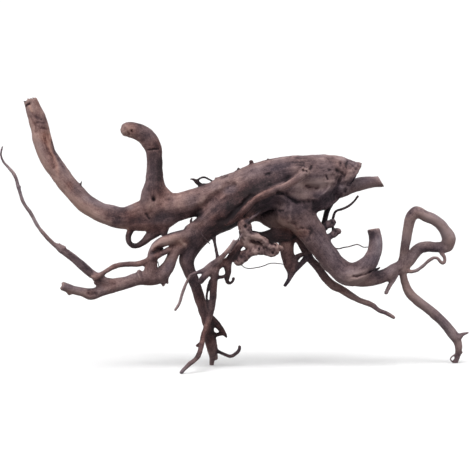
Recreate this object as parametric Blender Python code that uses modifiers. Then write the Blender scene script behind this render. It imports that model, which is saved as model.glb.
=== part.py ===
"""A spiderwood root: a gnarled trunk with a raised arm, a hook, a looped right end and many roots.

It grew as one piece of wood, so it is one solid. Each branch is a tapered tube along a smooth
curve through points chosen by hand. The stout branches are fused under one skin, softened where
they meet, given the long ridges of old wood and thinned to few faces. The slender ones are then
joined to it by one Boolean union, and the three feet on which the root stands are cut flat.

Every route point is (across, depth, rise, radius) in millimetres, as seen by an eye that looks
down at SIGHT_TILT: across to the right of the root's middle, depth away from the eye, rise up the
line of sight's own upright. place() turns that into the root's own frame, +Z up, metres.
"""
import math

import bmesh
import bpy
from mathutils import Vector, kdtree, noise

NAME = "spiderwood_root"
MM = 0.001

# Sight and frame
SIGHT_TILT = math.radians(6.0)   # how far down the eye looks
FLOOR_RISE = 5.0                 # mm, rise of the floor straight under the middle
MIDDLE = (-0.4, -4.2)             # mm, across and depth of the middle of the root's box

# Driving dimensions, mm
TRUNK_RADIUS = 20.5              # the upper trunk at its thickest
STOUT = 2.4                      # a branch never thinner than this is fused under the skin
SLIM = 3.1                       # a branch never thicker than this has fewer sides
SKIN_VOXEL = 1.25                # the fused skin's grid
SOFTENING = 5                    # rounds of smoothing where branches meet
SKIN_TRIANGLES = 6200            # the fused skin is thinned to about this many
MERGE = 0.05                     # points closer than this are one

# Rings along a tube: how far apart in radii, and the least distance
FINE_RINGS = (0.7, 1.5)
COARSE_RINGS = (1.9, 4.4)

# Relief of old wood: height as a share of the radius, width across and length along the grain
RIDGES = ((0.10, 7.0, 60.0), (0.05, 3.2, 26.0))
KNOBS = (0.10, 15.0)             # height as a share of the radius, and width

# The trunk is two strands grown together, with a throat under its right end
TRUNK = {
    "upper_strand": [
        (-108, 6, 153, 10), (-85, 2, 161, 12.5), (-55, 0, 166.3, 13.5), (-30, 0, 172.6, 14.3),
        (0, 2, 183, 17.5), (30, 4, 192.5, 19.8), (60, 5, 197, TRUNK_RADIUS), (90, 6, 199, 19),
        (108, 6, 201, 15.5), (125, 4, 204.5, 6.5)],
    "lower_strand": [(-106, 4, 150, 8), (-92, 0, 149.5, 8.5), (-80, -2, 150, 9), (-70, -3, 152, 9),
                     (-58, -4, 155.5, 7.5), (-42, -5, 160, 7)],
    "under_fill": [(-54, -5, 151, 3), (-43, -5, 149, 6)],
    "throat": [(55, 4, 172, 18), (77, 7, 172, 13.5), (89, 8, 175.5, 12.5), (96.5, 9, 181, 12),
               (108, 9, 188, 10)],
    "torn_end": [(104, 6, 199, 13), (116, 2, 199, 9.5), (123.5, 0, 203.5, 4.5)],
    "under_stub": [(-76, -2, 153, 9), (-72, -4, 145, 6), (-70.5, -5, 137, 3)],
    "back_link": [(5, 10, 157, 11), (23, 13, 161, 9.5), (35, 12, 157, 12), (43, 8, 154, 13)],
    "front_rib": [
        (73, -17, 202, 4.4), (62.5, -19, 194, 3.8), (54, -20.5, 188, 4), (42, -22, 183, 4.2),
        (29, -23.5, 178, 4.2), (19, -24, 172, 4), (9.5, -24, 164, 3.8), (0, -22, 154, 3.2),
        (-9, -19, 148, 2.7), (-17, -16, 147, 2.5)],
}

# The left arm reaches up and back, and the hook curls over beside it
ARMS = {
    "left_arm": [
        (-205, 34, 272.5, 7), (-196.5, 31, 250, 9), (-189, 27, 220, 9), (-177.5, 22, 200, 10),
        (-162.5, 18, 182.3, 10), (-141, 12, 164.5, 10), (-109, 6, 152.5, 10.5), (-85, 2, 160, 11)],
    "hook": [
        (-81, 0, 169, 15.5), (-81, 1, 181, 12.3), (-80, 3, 192, 9.8), (-78.8, 6, 210, 7.8),
        (-81.5, 9, 224, 9.2), (-89, 10, 236, 9.2), (-101, 10, 242.3, 8.4), (-113.5, 9, 240.5, 7.8)],
    "arm_thorn": [(-155, 15, 183, 5), (-154, 15, 191, 1.3)],
    "arm_spur": [(-161, 18, 177, 5), (-165, 18, 169, 1.3)],
    "right_stub": [(95, 12, 180, 10), (105, 16, 181, 9), (123, 20, 187, 6.3), (137, 22, 189.3, 5),
                   (147, 23, 189.3, 4)],
}

# Roots that leave the trunk to the lower left
LEFT_ROOTS = {
    "ring_root": [
        (-104, 4, 151, 4), (-105, 2, 142, 3.2), (-107, 0, 133, 2.8), (-103.5, -1, 126, 2.8),
        (-98, -1, 125, 3), (-90, -2, 130.5, 3.4), (-83, -3, 138, 4), (-78, -2, 145, 4.5)],
    "arched_root": [
        (-45, -8, 137, 7), (-57, -13, 135, 6), (-69, -17, 131, 5.8), (-78, -19, 125.5, 5),
        (-82, -21, 118, 4.8), (-83.5, -22, 110, 4.8), (-86.5, -23, 102, 4.5), (-89, -24, 95, 4)],
    "arch_wall": [(-81, -14, 124, 4.5), (-73, -12, 121, 4.2), (-66, -11, 120, 4)],
    "slim_root": [
        (-56, -6, 128, 5), (-62, -9, 124, 3.6), (-70, -10, 120, 3.2), (-81, -11, 114.5, 3),
        (-95, -12, 108, 3.4), (-107, -14, 107, 3.3), (-118, -18, 106, 3.2),
        (-127, -22, 102, 2.6), (-134, -26, 96, 2.6), (-141, -28, 93, 3.1)],
    "big_left_root": [
        (-48, -6, 132, 8), (-59, -12, 124, 6.5), (-63, -15, 113, 6.5), (-68, -18, 104, 7.5),
        (-77, -21, 95.5, 7.2), (-85, -23, 93.5, 6.7), (-95, -25, 94, 6.9), (-107, -28, 90, 6.4),
        (-120, -31, 85, 5.7), (-133, -34, 80.3, 5), (-143, -36, 77.4, 5.4), (-153, -38, 80.5, 4.8),
        (-164, -40, 83, 4.6), (-172.5, -41, 86, 4.8)],
    "feeler_web": [(-108, -28, 91, 5), (-121, -31, 88.5, 3.5), (-129, -34, 89, 3)],
    "root_spur": [(-67, -18, 102, 5), (-71, -19, 91, 3.5), (-72, -19, 85, 1.5)],
    "root_nub": [(-163, -40, 82, 3.5), (-166, -41, 78, 2)],
    "root_knob": [(-94, -25, 95, 4.5), (-96, -27, 101, 2.5)],
    "long_feeler": [
        (-118, -31, 84, 4.5), (-127, -34, 90, 4), (-141, -37, 98, 4), (-153, -40, 109, 4),
        (-164, -42, 118, 4), (-174, -44, 124, 3.8), (-180, -45, 128, 2.5),
        (-188, -46, 137, 2.2), (-197, -47, 147, 2.2), (-204, -47, 159, 2.1),
        (-211, -47, 169, 2), (-215, -46, 182, 1.9), (-220, -45, 197, 1.7),
        (-226, -44, 204, 1.5), (-232, -43, 211, 1.4), (-234, -42, 218, 1.2),
        (-231, -41, 226, 0.9)],
    "feeler_thorn": [(-215, -46, 183, 1.7), (-213, -46, 186, 0.8)],
}

# The two front legs cross and part again, one foot behind and one in front
FRONT_LEGS = {
    "back_leg": [
        (65, 0, 187, 15), (35, -4, 180, 17), (10, -6, 169, 17), (-13, -6, 157, 16),
        (-32, -4, 140, 12.5), (-43.5, -4, 124, 9), (-48, -6, 110, 7.9), (-40.5, -8, 92, 6.5),
        (-33.4, -8, 72, 7), (-27.5, -6, 50, 6), (-24, 3, 30.5, 7.4), (-23.5, 12, 19, 4.6),
        (-23.5, 18, 5, 2.8)],
    "back_leg_toe": [(-24, 10, 21, 4), (-19, 14, 13, 2)],
    "dark_strand": [
        (8, -16, 141, 6), (8, -21, 133, 4.5), (0, -24, 121, 4), (-6, -25, 112, 4),
        (-14, -26, 106, 4), (-20, -27, 102, 3.6)],
    "front_leg": [
        (-18.5, -27, 104, 3.6), (-19.5, -28, 101, 3.8), (-21, -26, 90.5, 3.5),
        (-22, -20, 70.4, 3.3), (-25, -15, 55, 3.1), (-29, -15, 45, 2.9), (-32, -24, 35, 2.7),
        (-34, -36, 24.4, 2.6), (-36.8, -45, 16.5, 2.5), (-40.5, -50, 12, 2.6),
        (-45.8, -54.5, 8, 2.5), (-54, -60, -0.8, 2.2)],
    "leg_nub": [(-33, -25, 29, 2.6), (-38.5, -27, 26, 1.4)],
    "side_strand": [(-24, -26, 91, 2), (-27, -23, 86, 1.7), (-28.2, -20, 78, 1.4),
                    (-28.5, -18, 71, 1.4), (-26, -16, 63, 2)],
    "light_strand": [
        (2, -30, 131, 2.6), (-1, -31, 126, 3), (-8.4, -31, 118, 3.5), (-15.5, -30, 112, 4),
        (-24, -28, 106, 4), (-30.4, -26, 102, 3), (-37.5, -25, 99.4, 1.9),
        (-44, -24, 97, 1.9), (-47, -24, 92, 1.8), (-52, -25, 80.6, 1.7),
        (-55.8, -27, 68.3, 1.6), (-60, -28, 61.7, 1.4)],
    "strand_stub": [(-22, -28, 104, 3.8), (-29, -28, 97, 3.4), (-35, -29, 90, 3.2)],
    "side_toe": [(-26, -6, 56, 4), (-18.3, -4, 46.3, 3.3), (-14, -1, 42, 2.9), (-10.5, 1, 37.8, 2),
                 (-8, 2, 34, 1)],
    "toe_link": [(-11.5, 0, 38.5, 1.9), (-17, 1, 36.8, 1.7), (-24, 1, 36, 1.9)],
    "foot_curl": [(-23, 9, 23, 3), (-17, 9, 20, 1.7), (-9.5, 8, 17, 1.6), (-4.5, 8, 15, 1.6),
                  (0.6, 9, 18, 1.5), (4, 10, 22, 1.4), (4, 10, 26.4, 1)],
    "hanging_hook": [
        (-6, -24, 113, 3.6), (-7.5, -24, 106, 3.2), (-6.8, -24, 100, 3.2), (-7.8, -24, 95, 2.6),
        (-8, -24, 91, 1.9), (-6, -24, 88, 1.6), (-3, -24, 90, 1.4), (-1.7, -24, 93.7, 1)],
    "hook_link": [(-19, -27, 94.5, 1.8), (-13, -26, 95, 1.3), (-7, -24, 97, 1.8)],
    "drop_twig": [(-22, -9, 139, 3.5), (-19.5, -18, 126, 2), (-18, -24, 118, 1.7),
                  (-17, -29, 112, 2)],
}

# Knobby roots in front, under the middle of the trunk
KNOBBY_ROOTS = {
    "knob_neck": [(6, -12, 160, 8), (8, -20, 151, 6.5), (9.5, -24, 146, 7), (11, -25, 139, 6),
                  (11, -24, 132, 5.3), (13, -23, 126, 5)],
    "knob_twig": [(9, -25, 147, 4), (15.5, -29, 153, 1.7), (21, -30, 157.4, 1.5),
                  (25, -30, 161.3, 1.3)],
    "upper_ridge": [(10, -24, 140, 5), (16, -25, 138, 4), (24, -26, 135, 4), (30, -26, 130, 4),
                    (36.5, -26, 125, 4), (43, -25, 123.5, 4.5)],
    "lower_lobe": [(43, -25, 122, 4), (36.5, -25, 119.5, 4.4), (28, -24, 121, 4.4),
                   (17, -23, 120.8, 5.3), (9, -22, 116.5, 5.6), (2, -22, 110.5, 5.8)],
    "hollow_wall": [(11, -20, 129, 4.5), (22, -21, 127.5, 4), (35, -22, 124, 4)],
    "dark_root": [(9, -18, 138, 5.5), (17, -10, 136, 6), (33, -4, 134, 6.5), (54, 0, 137, 7)],
    "webbed_root": [(50, 2, 148, 9), (51.5, 0, 135, 8.5), (52, -1, 121, 7.2), (53.5, -1, 108, 6.2),
                    (55.5, -2, 98, 4.2), (53.5, -3, 91, 2.8), (49.5, -4, 85.5, 2.4)],
    "web_strand": [(73, 8, 115, 4), (62.5, 2, 104, 2.5), (56, -1, 97, 3)],
    "web_bridge": [(75, 9, 120, 3), (66, 4, 117.8, 2.4), (60, 1, 114, 4), (57.5, 0, 108, 4.6),
                   (57, -1, 101, 4)],
}

# Roots that leave the trunk to the right, with the loop and the right leg
RIGHT_ROOTS = {
    "great_bend": [
        (50, 0, 177, 18), (60, -2, 160, 17), (73.5, -4, 142, 13.5), (88.5, -6, 122.3, 12),
        (101, -7, 106.5, 11.3), (114.5, -8, 98, 12.2), (129, -8, 104, 10), (138.3, -6, 117, 7.8),
        (140.4, -4, 130, 6.8), (138.4, -3, 143, 6.4)],
    "bend_root": [(112, -4, 96, 8), (125, -2, 93.5, 8.5), (137, 2, 94, 8), (150, 8, 96.5, 7),
                  (163.5, 14, 105, 6), (170, 17, 106, 4.5)],
    "loop": [
        (165.5, 15, 101, 5), (168.5, 15, 115, 4.8), (171, 12, 130, 4.8), (173.2, 9, 144, 5.1),
        (176, 7, 155.5, 5.5), (181, 6, 160.3, 5.8), (190, 8, 156, 5.5), (202, 12, 150.3, 5.6),
        (209.5, 15, 142.5, 5.9), (214, 18, 133, 7.2), (212, 20, 125.8, 6.2), (201, 21, 125.4, 5.6),
        (190, 21, 125.8, 6), (182, 20, 121, 6.5), (175.5, 18, 113, 6), (169, 17, 104, 5.3)],
    "right_leg": [
        (168, 16, 106, 5), (169, 17, 98, 4.4), (169.5, 19, 90, 4.2), (174.3, 21, 79, 4.7),
        (181, 23, 71, 4.9), (191.8, 26, 63, 5.3), (201, 28, 55.5, 5.2), (209.5, 31, 47, 5.6),
        (216.7, 33, 38.5, 5.9), (223, 35, 30, 4.5), (224, 36, 22, 3.6), (222.5, 37, 14, 3.5),
        (220.5, 37, 7, 3.2)],
    "leg_thorn": [(217.5, 33, 35.5, 4.5), (224, 33, 36.5, 3), (229, 33, 38.2, 1.7),
                  (234.3, 33, 39, 0.8)],
    "foot_thorn": [(224, 36, 20, 2.2), (228.8, 36, 19, 0.9)],
    "foot_burr": [(222, 37, 13, 2.5), (216.5, 38, 11.5, 1.8)],
    "loop_twig": [
        (204, 20, 128, 3), (206, 17, 120, 2.1), (210, 15, 113.6, 1.8), (208.5, 13, 109, 1.7),
        (201, 11, 114.3, 1.7), (195, 10, 112, 1.8), (188, 11, 106, 1.8), (179, 13, 100.6, 1.9),
        (168, 16, 101.7, 2.5)],
    "bend_spur": [(163, 14, 103, 4), (160.7, 12, 96, 3), (154, 8, 85, 2.4), (151, 6, 78.5, 1.9)],
    "long_diagonal": [
        (58, 6, 142, 7), (65, 8, 132, 5), (70.7, 9, 121, 4.5), (75, 10, 112, 4.3),
        (82.5, 10, 103, 4.3), (89, 10, 93.5, 4.2), (97, 10, 86, 4.2), (106, 9, 82.8, 3.8),
        (121.3, 7, 73.3, 3.4), (138, 5, 66.3, 2.8), (144, 4, 61.7, 2.4), (152, 4, 58.5, 2.2),
        (159.6, 4, 54, 1.8)],
    "thin_drop": [(96, 19, 171, 4), (92.3, 21, 160.6, 2.6), (89, 17, 149.5, 2.2),
                  (87, 10, 143, 2.4)],
    "curved_twig": [
        (123.5, 18, 176.4, 1), (117.7, 17, 168.7, 1.2), (112, 16, 164.7, 1.3),
        (101, 13, 160.6, 1.4), (97.8, 9, 151.4, 1.4), (98, 6, 142, 1.4), (96, 2, 134, 1.5),
        (89, -3, 128, 2)],
    "upper_knob": [(80, -2, 138, 5), (91, 2, 145, 3.4), (101, 4, 151, 4)],
    "lower_knob": [(86, -3, 127, 5), (94.4, 1, 135, 3.2), (104, 4, 141, 4.2)],
}

# Small rootlets on the trunk's top, and the roots on its far side
TRUNK_ROOTLETS = {
    "top_rootlet": [(-18, 6, 181, 3.5), (-26, 6, 187, 2.3), (-34, 6, 187.5, 2), (-39, 5, 191, 2),
                    (-45, 4, 193, 0.9)],
    "top_arc": [(-38, 5, 190.5, 1.4), (-34, 6, 194, 1), (-28.5, 7, 194.5, 1), (-20, 8, 190, 1.1),
                (-13, 8, 185, 1.6)],
    "top_twig": [(-6, 3, 190, 2.5), (-13, 3, 193.4, 1.2), (-20, 3, 193.5, 0.9)],
    "top_nub": [(17, 4, 204, 5), (16, 4, 210.5, 2.5)],
    "back_stub": [(20, 12, 186, 9), (26, 32, 183, 6.5), (30, 46, 178, 4.5)],
    "back_root": [(44, 16, 162, 10), (50, 33, 149, 6.5), (51, 43, 134, 5), (53, 49, 120, 3.4),
                  (54, 52, 106, 1.6)],
    "far_stub": [(-40, 4, 170, 10), (-54, 24, 167, 6.5), (-66, 37, 164, 4.8), (-76, 45, 161, 3.6)],
}

GROUPS = (TRUNK, ARMS, LEFT_ROOTS, FRONT_LEGS, KNOBBY_ROOTS, RIGHT_ROOTS, TRUNK_ROOTLETS)


def place(across, depth, rise):
    """The point in the root's own frame, metres: the sight's tilt is taken out of the rise."""
    height = (rise - FLOOR_RISE - depth * math.sin(SIGHT_TILT)) / math.cos(SIGHT_TILT)
    return Vector((across - MIDDLE[0], depth - MIDDLE[1], height)) * MM


def smooth_route(route, rings):
    """Points and radii along a smooth curve through the route's own points."""
    spacing_in_radii, least = rings
    knots = [(place(a, d, h), r) for a, d, h, r in route]
    before = (2 * knots[0][0] - knots[1][0], knots[0][1])
    after = (2 * knots[-1][0] - knots[-2][0], knots[-1][1])
    samples = [knots[0]]
    knots = [before] + knots + [after]
    for (p0, _), (p1, r1), (p2, r2), (p3, _) in zip(knots, knots[1:], knots[2:], knots[3:]):
        spacing = max(spacing_in_radii * (r1 + r2) / 2, least) * MM
        steps = max(1, round((p2 - p1).length / spacing))
        for i in range(1, steps + 1):
            t = i / steps
            w0 = -t + 2 * t**2 - t**3
            w1 = 2 - 5 * t**2 + 3 * t**3
            w2 = t + 4 * t**2 - 3 * t**3
            w3 = -t**2 + t**3
            samples.append(((w0 * p0 + w1 * p1 + w2 * p2 + w3 * p3) / 2, r1 + (r2 - r1) * t))
    return samples


def bake(piece):
    """Make the object's modifiers, or its curve, a plain mesh."""
    bpy.context.view_layer.update()
    seen = piece.evaluated_get(bpy.context.evaluated_depsgraph_get())
    return bpy.data.meshes.new_from_object(seen)


def tube(name, route, collection, fine=False):
    """A tapered tube along the route, as a closed mesh with low knobs."""
    samples = smooth_route(route, FINE_RINGS if fine else COARSE_RINGS)
    slim = max(radius for _, radius in samples) < SLIM
    curve = bpy.data.curves.new("guide", "CURVE")
    curve.dimensions = "3D"
    curve.bevel_depth = MM
    curve.bevel_resolution = 6 if fine else 1 if slim else 2
    curve.use_fill_caps = True
    spline = curve.splines.new("POLY")
    spline.points.add(len(samples) - 1)
    for spot, (point, radius) in zip(spline.points, samples):
        spot.co = (*point, 1.0)
        spot.radius = radius
    guide = bpy.data.objects.new("guide", curve)
    bpy.context.scene.collection.objects.link(guide)
    mesh = bake(guide)
    shell = bmesh.new()
    shell.from_mesh(mesh)
    bmesh.ops.remove_doubles(shell, verts=shell.verts, dist=MERGE * MM)
    shell.normal_update()
    height, width = KNOBS
    for vert in shell.verts:
        _, radius = min(samples, key=lambda sample: (sample[0] - vert.co).length_squared)
        vert.co += vert.normal * (radius * height * noise.noise(vert.co / (width * MM)) * MM)
    shell.to_mesh(mesh)
    shell.free()
    piece = bpy.data.objects.new(name, mesh)
    piece.matrix_world = guide.matrix_world
    collection.objects.link(piece)
    bpy.data.objects.remove(guide)
    return piece


def join(body, pieces):
    """One Boolean union of the body with every object in the collection, which then goes."""
    union = body.modifiers.new("grown_together", "BOOLEAN")
    union.operation = "UNION"
    union.operand_type = "COLLECTION"
    union.collection = pieces
    union.solver = "EXACT"
    union.use_self = True
    body.data = bake(body)
    body.modifiers.clear()
    for piece in list(pieces.objects):
        bpy.data.objects.remove(piece)
    bpy.data.collections.remove(pieces)


def fuse_skin(body):
    """Lay one even skin over the joined branches and soften the forks."""
    skin = body.modifiers.new("skin", "REMESH")
    skin.mode = "VOXEL"
    skin.voxel_size = SKIN_VOXEL * MM
    soften = body.modifiers.new("soften", "SMOOTH")
    soften.factor = 0.5
    soften.iterations = SOFTENING
    body.data = bake(body)
    body.modifiers.clear()


def raise_ridges(mesh, routes):
    """Raise long ridges that run with each branch: noise read in the branch's own directions."""
    stations = []
    for route in routes:
        samples = smooth_route(route, FINE_RINGS)
        side = (samples[1][0] - samples[0][0]).orthogonal().normalized()
        along = 0.0
        for (point, radius), (ahead, _) in zip(samples, samples[1:]):
            step = ahead - point
            run = step.normalized()
            side = (side - side.dot(run) * run).normalized()
            stations.append((point, radius, along, run, side, run.cross(side)))
            along += step.length
    tree = kdtree.KDTree(len(stations))
    for number, station in enumerate(stations):
        tree.insert(station[0], number)
    tree.balance()
    lifts = []
    for vert in mesh.vertices:
        point, radius, along, run, side, other = stations[tree.find(vert.co)[1]]
        offset = vert.co - point
        across = (offset.dot(side), offset.dot(other))
        length = along + offset.dot(run)
        lift = 0.0
        for height, width, reach in RIDGES:
            where = Vector((across[0] / width, across[1] / width, length / reach)) / MM
            lift += height * radius * noise.noise(where)
        lifts.append(vert.normal * (lift * MM))
    for vert, lift in zip(mesh.vertices, lifts):
        vert.co += lift


def thin_out(body):
    """Few faces where the skin is even, more where it bends."""
    thin = body.modifiers.new("thin_out", "DECIMATE")
    body.data.calc_loop_triangles()
    thin.ratio = SKIN_TRIANGLES / len(body.data.loop_triangles)
    body.data = bake(body)
    body.modifiers.clear()


def cut_feet(mesh):
    """Cut off what lies below the floor, which leaves a flat spot under each foot."""
    solid = bmesh.new()
    solid.from_mesh(mesh)
    cut = bmesh.ops.bisect_plane(
        solid, geom=solid.verts[:] + solid.edges[:] + solid.faces[:], dist=1e-7,
        plane_co=(0, 0, 0), plane_no=(0, 0, -1), clear_outer=True)
    rims = [item for item in cut["geom_cut"] if isinstance(item, bmesh.types.BMEdge)]
    bmesh.ops.holes_fill(solid, edges=rims)
    bmesh.ops.triangulate(solid, faces=solid.faces)
    solid.to_mesh(mesh)
    solid.free()


def wood():
    """Dull grey-brown dry wood."""
    material = bpy.data.materials.new("spiderwood")
    material.use_nodes = True
    shader = material.node_tree.nodes["Principled BSDF"]
    shader.inputs["Base Color"].default_value = (0.13, 0.085, 0.075, 1)
    shader.inputs["Roughness"].default_value = 0.72
    shader.inputs["Metallic"].default_value = 0.0
    return material


def collection(name):
    """A new collection in the scene."""
    new = bpy.data.collections.new(name)
    bpy.context.scene.collection.children.link(new)
    return new


def build():
    for old in list(bpy.data.objects):
        bpy.data.objects.remove(old)
    home = collection(NAME)
    stout, slender = collection("stout_branches"), collection("slender_branches")
    routes = {name: route for group in GROUPS for name, route in group.items()}
    fused = {name: route for name, route in routes.items() if min(r for *_, r in route) >= STOUT}

    root = tube(NAME, fused["upper_strand"], home, fine=True)
    for name, route in routes.items():
        if name not in fused:
            tube(name, route, slender)
        elif name != "upper_strand":
            tube(name, route, stout, fine=True)
    join(root, stout)
    fuse_skin(root)
    raise_ridges(root.data, fused.values())
    thin_out(root)
    join(root, slender)
    cut_feet(root.data)
    root.data.materials.clear()
    root.data.materials.append(wood())
    root.data.shade_smooth()


build()
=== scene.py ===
# %% [markdown]
# # A spiderwood root
#
# Spiderwood is the root of a shrub, washed and dried for aquariums. This one has a thick trunk that is
# torn open at its right end, an arm that rises to the left, a hook beside it, a bend and a loop to the
# right, and many slender roots underneath. It grew as one piece, so it is modelled as one skin.
#
# The imported model is loaded first. Everything made here lies in the same frame: metres, +Z up, the
# floor at zero.

# %% Load the frame
import itertools
import math

import bpy
import numpy as np
from mathutils import Euler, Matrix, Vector
from mathutils.geometry import interpolate_bezier


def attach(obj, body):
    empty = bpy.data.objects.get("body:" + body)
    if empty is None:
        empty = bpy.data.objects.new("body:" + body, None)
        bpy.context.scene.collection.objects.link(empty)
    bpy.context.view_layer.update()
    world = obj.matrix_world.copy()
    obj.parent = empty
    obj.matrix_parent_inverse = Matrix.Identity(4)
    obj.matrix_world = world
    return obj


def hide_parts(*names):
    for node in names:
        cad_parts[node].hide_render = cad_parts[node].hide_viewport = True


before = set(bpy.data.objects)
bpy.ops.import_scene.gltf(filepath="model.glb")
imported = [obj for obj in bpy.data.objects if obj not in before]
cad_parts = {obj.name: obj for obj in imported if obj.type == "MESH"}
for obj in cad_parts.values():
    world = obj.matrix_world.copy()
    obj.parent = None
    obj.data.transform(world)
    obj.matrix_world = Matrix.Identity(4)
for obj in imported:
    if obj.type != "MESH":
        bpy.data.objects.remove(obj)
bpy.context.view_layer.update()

# %% [markdown]
# ## Where things are
#
# The root is seen from slightly above. A place on it is easiest to give as the eye sees it: how far
# across, how deep, and how high up the line of sight's own upright, in millimetres. `place` takes the
# tilt of the sight out again. The middle and the floor are those of the model.

# %% Places as the eye sees them
MM = 0.001
SIGHT_TILT = math.radians(6.0)
FLOOR_RISE = 5.0
MIDDLE = (-0.4, -4.2)


def place(across, depth, rise):
    """The point in the model's frame, in metres."""
    height = (rise - FLOOR_RISE - depth * math.sin(SIGHT_TILT)) / math.cos(SIGHT_TILT)
    return Vector((across - MIDDLE[0], depth - MIDDLE[1], height)) * MM


# %% [markdown]
# ## Camera
#
# The picture shows no perspective to speak of, as a long lens far away gives. A lens of more than a
# metre, fifteen metres away, frames 47 cm, the width of the root.

# %% Camera
EYE_DISTANCE = 15.0
FRAME_WIDTH = 0.470
FRAME_MIDDLE_RISE = 137
SIGHT_END = 60                          # m, well behind the floor that the picture shows

target = place(0, 0, FRAME_MIDDLE_RISE)
sight = Vector((0, math.cos(SIGHT_TILT), -math.sin(SIGHT_TILT)))
bpy.ops.object.camera_add(location=target - sight * EYE_DISTANCE)
camera = bpy.context.object
camera.name = "camera"
camera.rotation_euler = sight.to_track_quat("-Z", "Y").to_euler()
camera.data.lens = camera.data.sensor_width * EYE_DISTANCE / FRAME_WIDTH
camera.data.clip_end = SIGHT_END
bpy.context.scene.camera = camera
print("lens, mm:", round(camera.data.lens))

# %% [markdown]
# ## Where the branches run
#
# Each branch follows a route of given points: (across, depth, rise, radius). A branch could be
# sculpted from a lump, but a route is easier to correct, and its direction later tells the grain where
# to run. Branches that grow from each other overlap well, so that one skin can join them.

# %% The trunk
# Two strands grown together, with a throat under the right end and a rib across the front
TRUNK = {
    "upper_strand": [(-108, 6, 154.5, 10.8), (-85, 2, 161, 12.5), (-55, 0, 166.3, 13.5),
        (-30, 0, 172.6, 14.3), (0, 2, 182.3, 17.2), (30, 4, 192.3, 19.2), (60, 5, 196.8, 20.2),
        (90, 6, 199, 19.8), (108, 6, 201.3, 15.2), (118, 5, 202.5, 9), (129, 4, 202, 6)],
    "lower_strand": [(-106, 4, 150, 8), (-92, 0, 149.5, 8.5), (-80, -2, 150, 9), (-70, -3, 152, 9),
        (-58, -4, 156.5, 6.5), (-42, -5, 161, 6)],
    "throat": [(55, 0, 173, 17), (77, 0, 172.5, 13.5), (89, 0, 175.5, 12.5), (96.5, 2, 181.5, 11.5),
        (108, 4, 188, 10)],
    "torn_end": [(104, 4, 199, 13), (114, 2, 197.5, 11), (126, 1, 196, 9)],
    "under_stub": [(-76, -2, 153, 9), (-72, -4, 145, 6), (-70.5, -5, 137, 3)],
    "back_link": [(5, 10, 157, 11), (23, 13, 161, 9.5), (35, 12, 157, 12), (43, 8, 154, 13)],
    "front_rib": [(73, -20.5, 201.5, 3.9), (62.5, -23.5, 193, 3.5), (54, -26, 187.5, 3.7), (42, -27, 182, 4),
        (29, -27.5, 177, 4), (19, -27.5, 171, 3.8), (9.5, -26.5, 162.5, 3.6), (0, -23, 153, 3.1),
        (-9, -19, 148, 2.7), (-17, -16, 147, 2.5)],
    "bend_shoulder": [(66, -3, 163, 15), (56, -6, 158.5, 14.5), (47, -8, 157, 12.2)],
    "gap_ridge": [(-30, -9, 152, 7), (-39, -9, 147.5, 5), (-48, -8, 142, 4)],
}

# %% The arm and the hook
# The left arm reaches up and back, and the hook curls over beside it
ARMS = {
    "left_arm": [(-205, 34, 272.5, 7), (-197, 31, 249.6, 9), (-188.9, 27, 219.6, 9.3),
        (-177.2, 22, 200.6, 10), (-162.5, 18, 182.2, 10), (-141, 12, 163, 9.9), (-125, 9, 156.6, 10.3),
        (-109, 6, 154, 11), (-85, 2, 160, 11)],
    "hook": [(-81.2, 2, 156.6, 12), (-81.7, 1, 168.6, 13.5), (-81.5, 1, 181.6, 11.6), (-80.8, 3, 192.6, 9.3),
        (-80.4, 6, 204.6, 8), (-80.6, 7, 214.6, 8), (-81.8, 9, 223.1, 8.5), (-86.2, 10, 231.6, 8.9),
        (-92.7, 10, 237.9, 8.8), (-100.2, 9, 241.3, 8.6), (-107.6, 7, 241.8, 8.2), (-111, 6, 240.2, 5.6)],
    "hook_base": [(-77, 3, 196, 5), (-74, 2, 184, 5), (-69, 1, 176, 7)],
    "arm_thorn": [(-156, 15, 184, 2.5), (-154.2, 15, 188, 1), (-153.2, 15, 191.5, 0.8)],
    "arm_spur": [(-160, 18, 174, 3), (-163.5, 18, 169.5, 1.5)],
    "right_stub": [(95, 12, 181, 9), (105, 16, 182.5, 8), (123, 20, 187.6, 6.4), (137, 22, 190, 5.6),
        (150, 23, 190.6, 5)],
}

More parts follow.
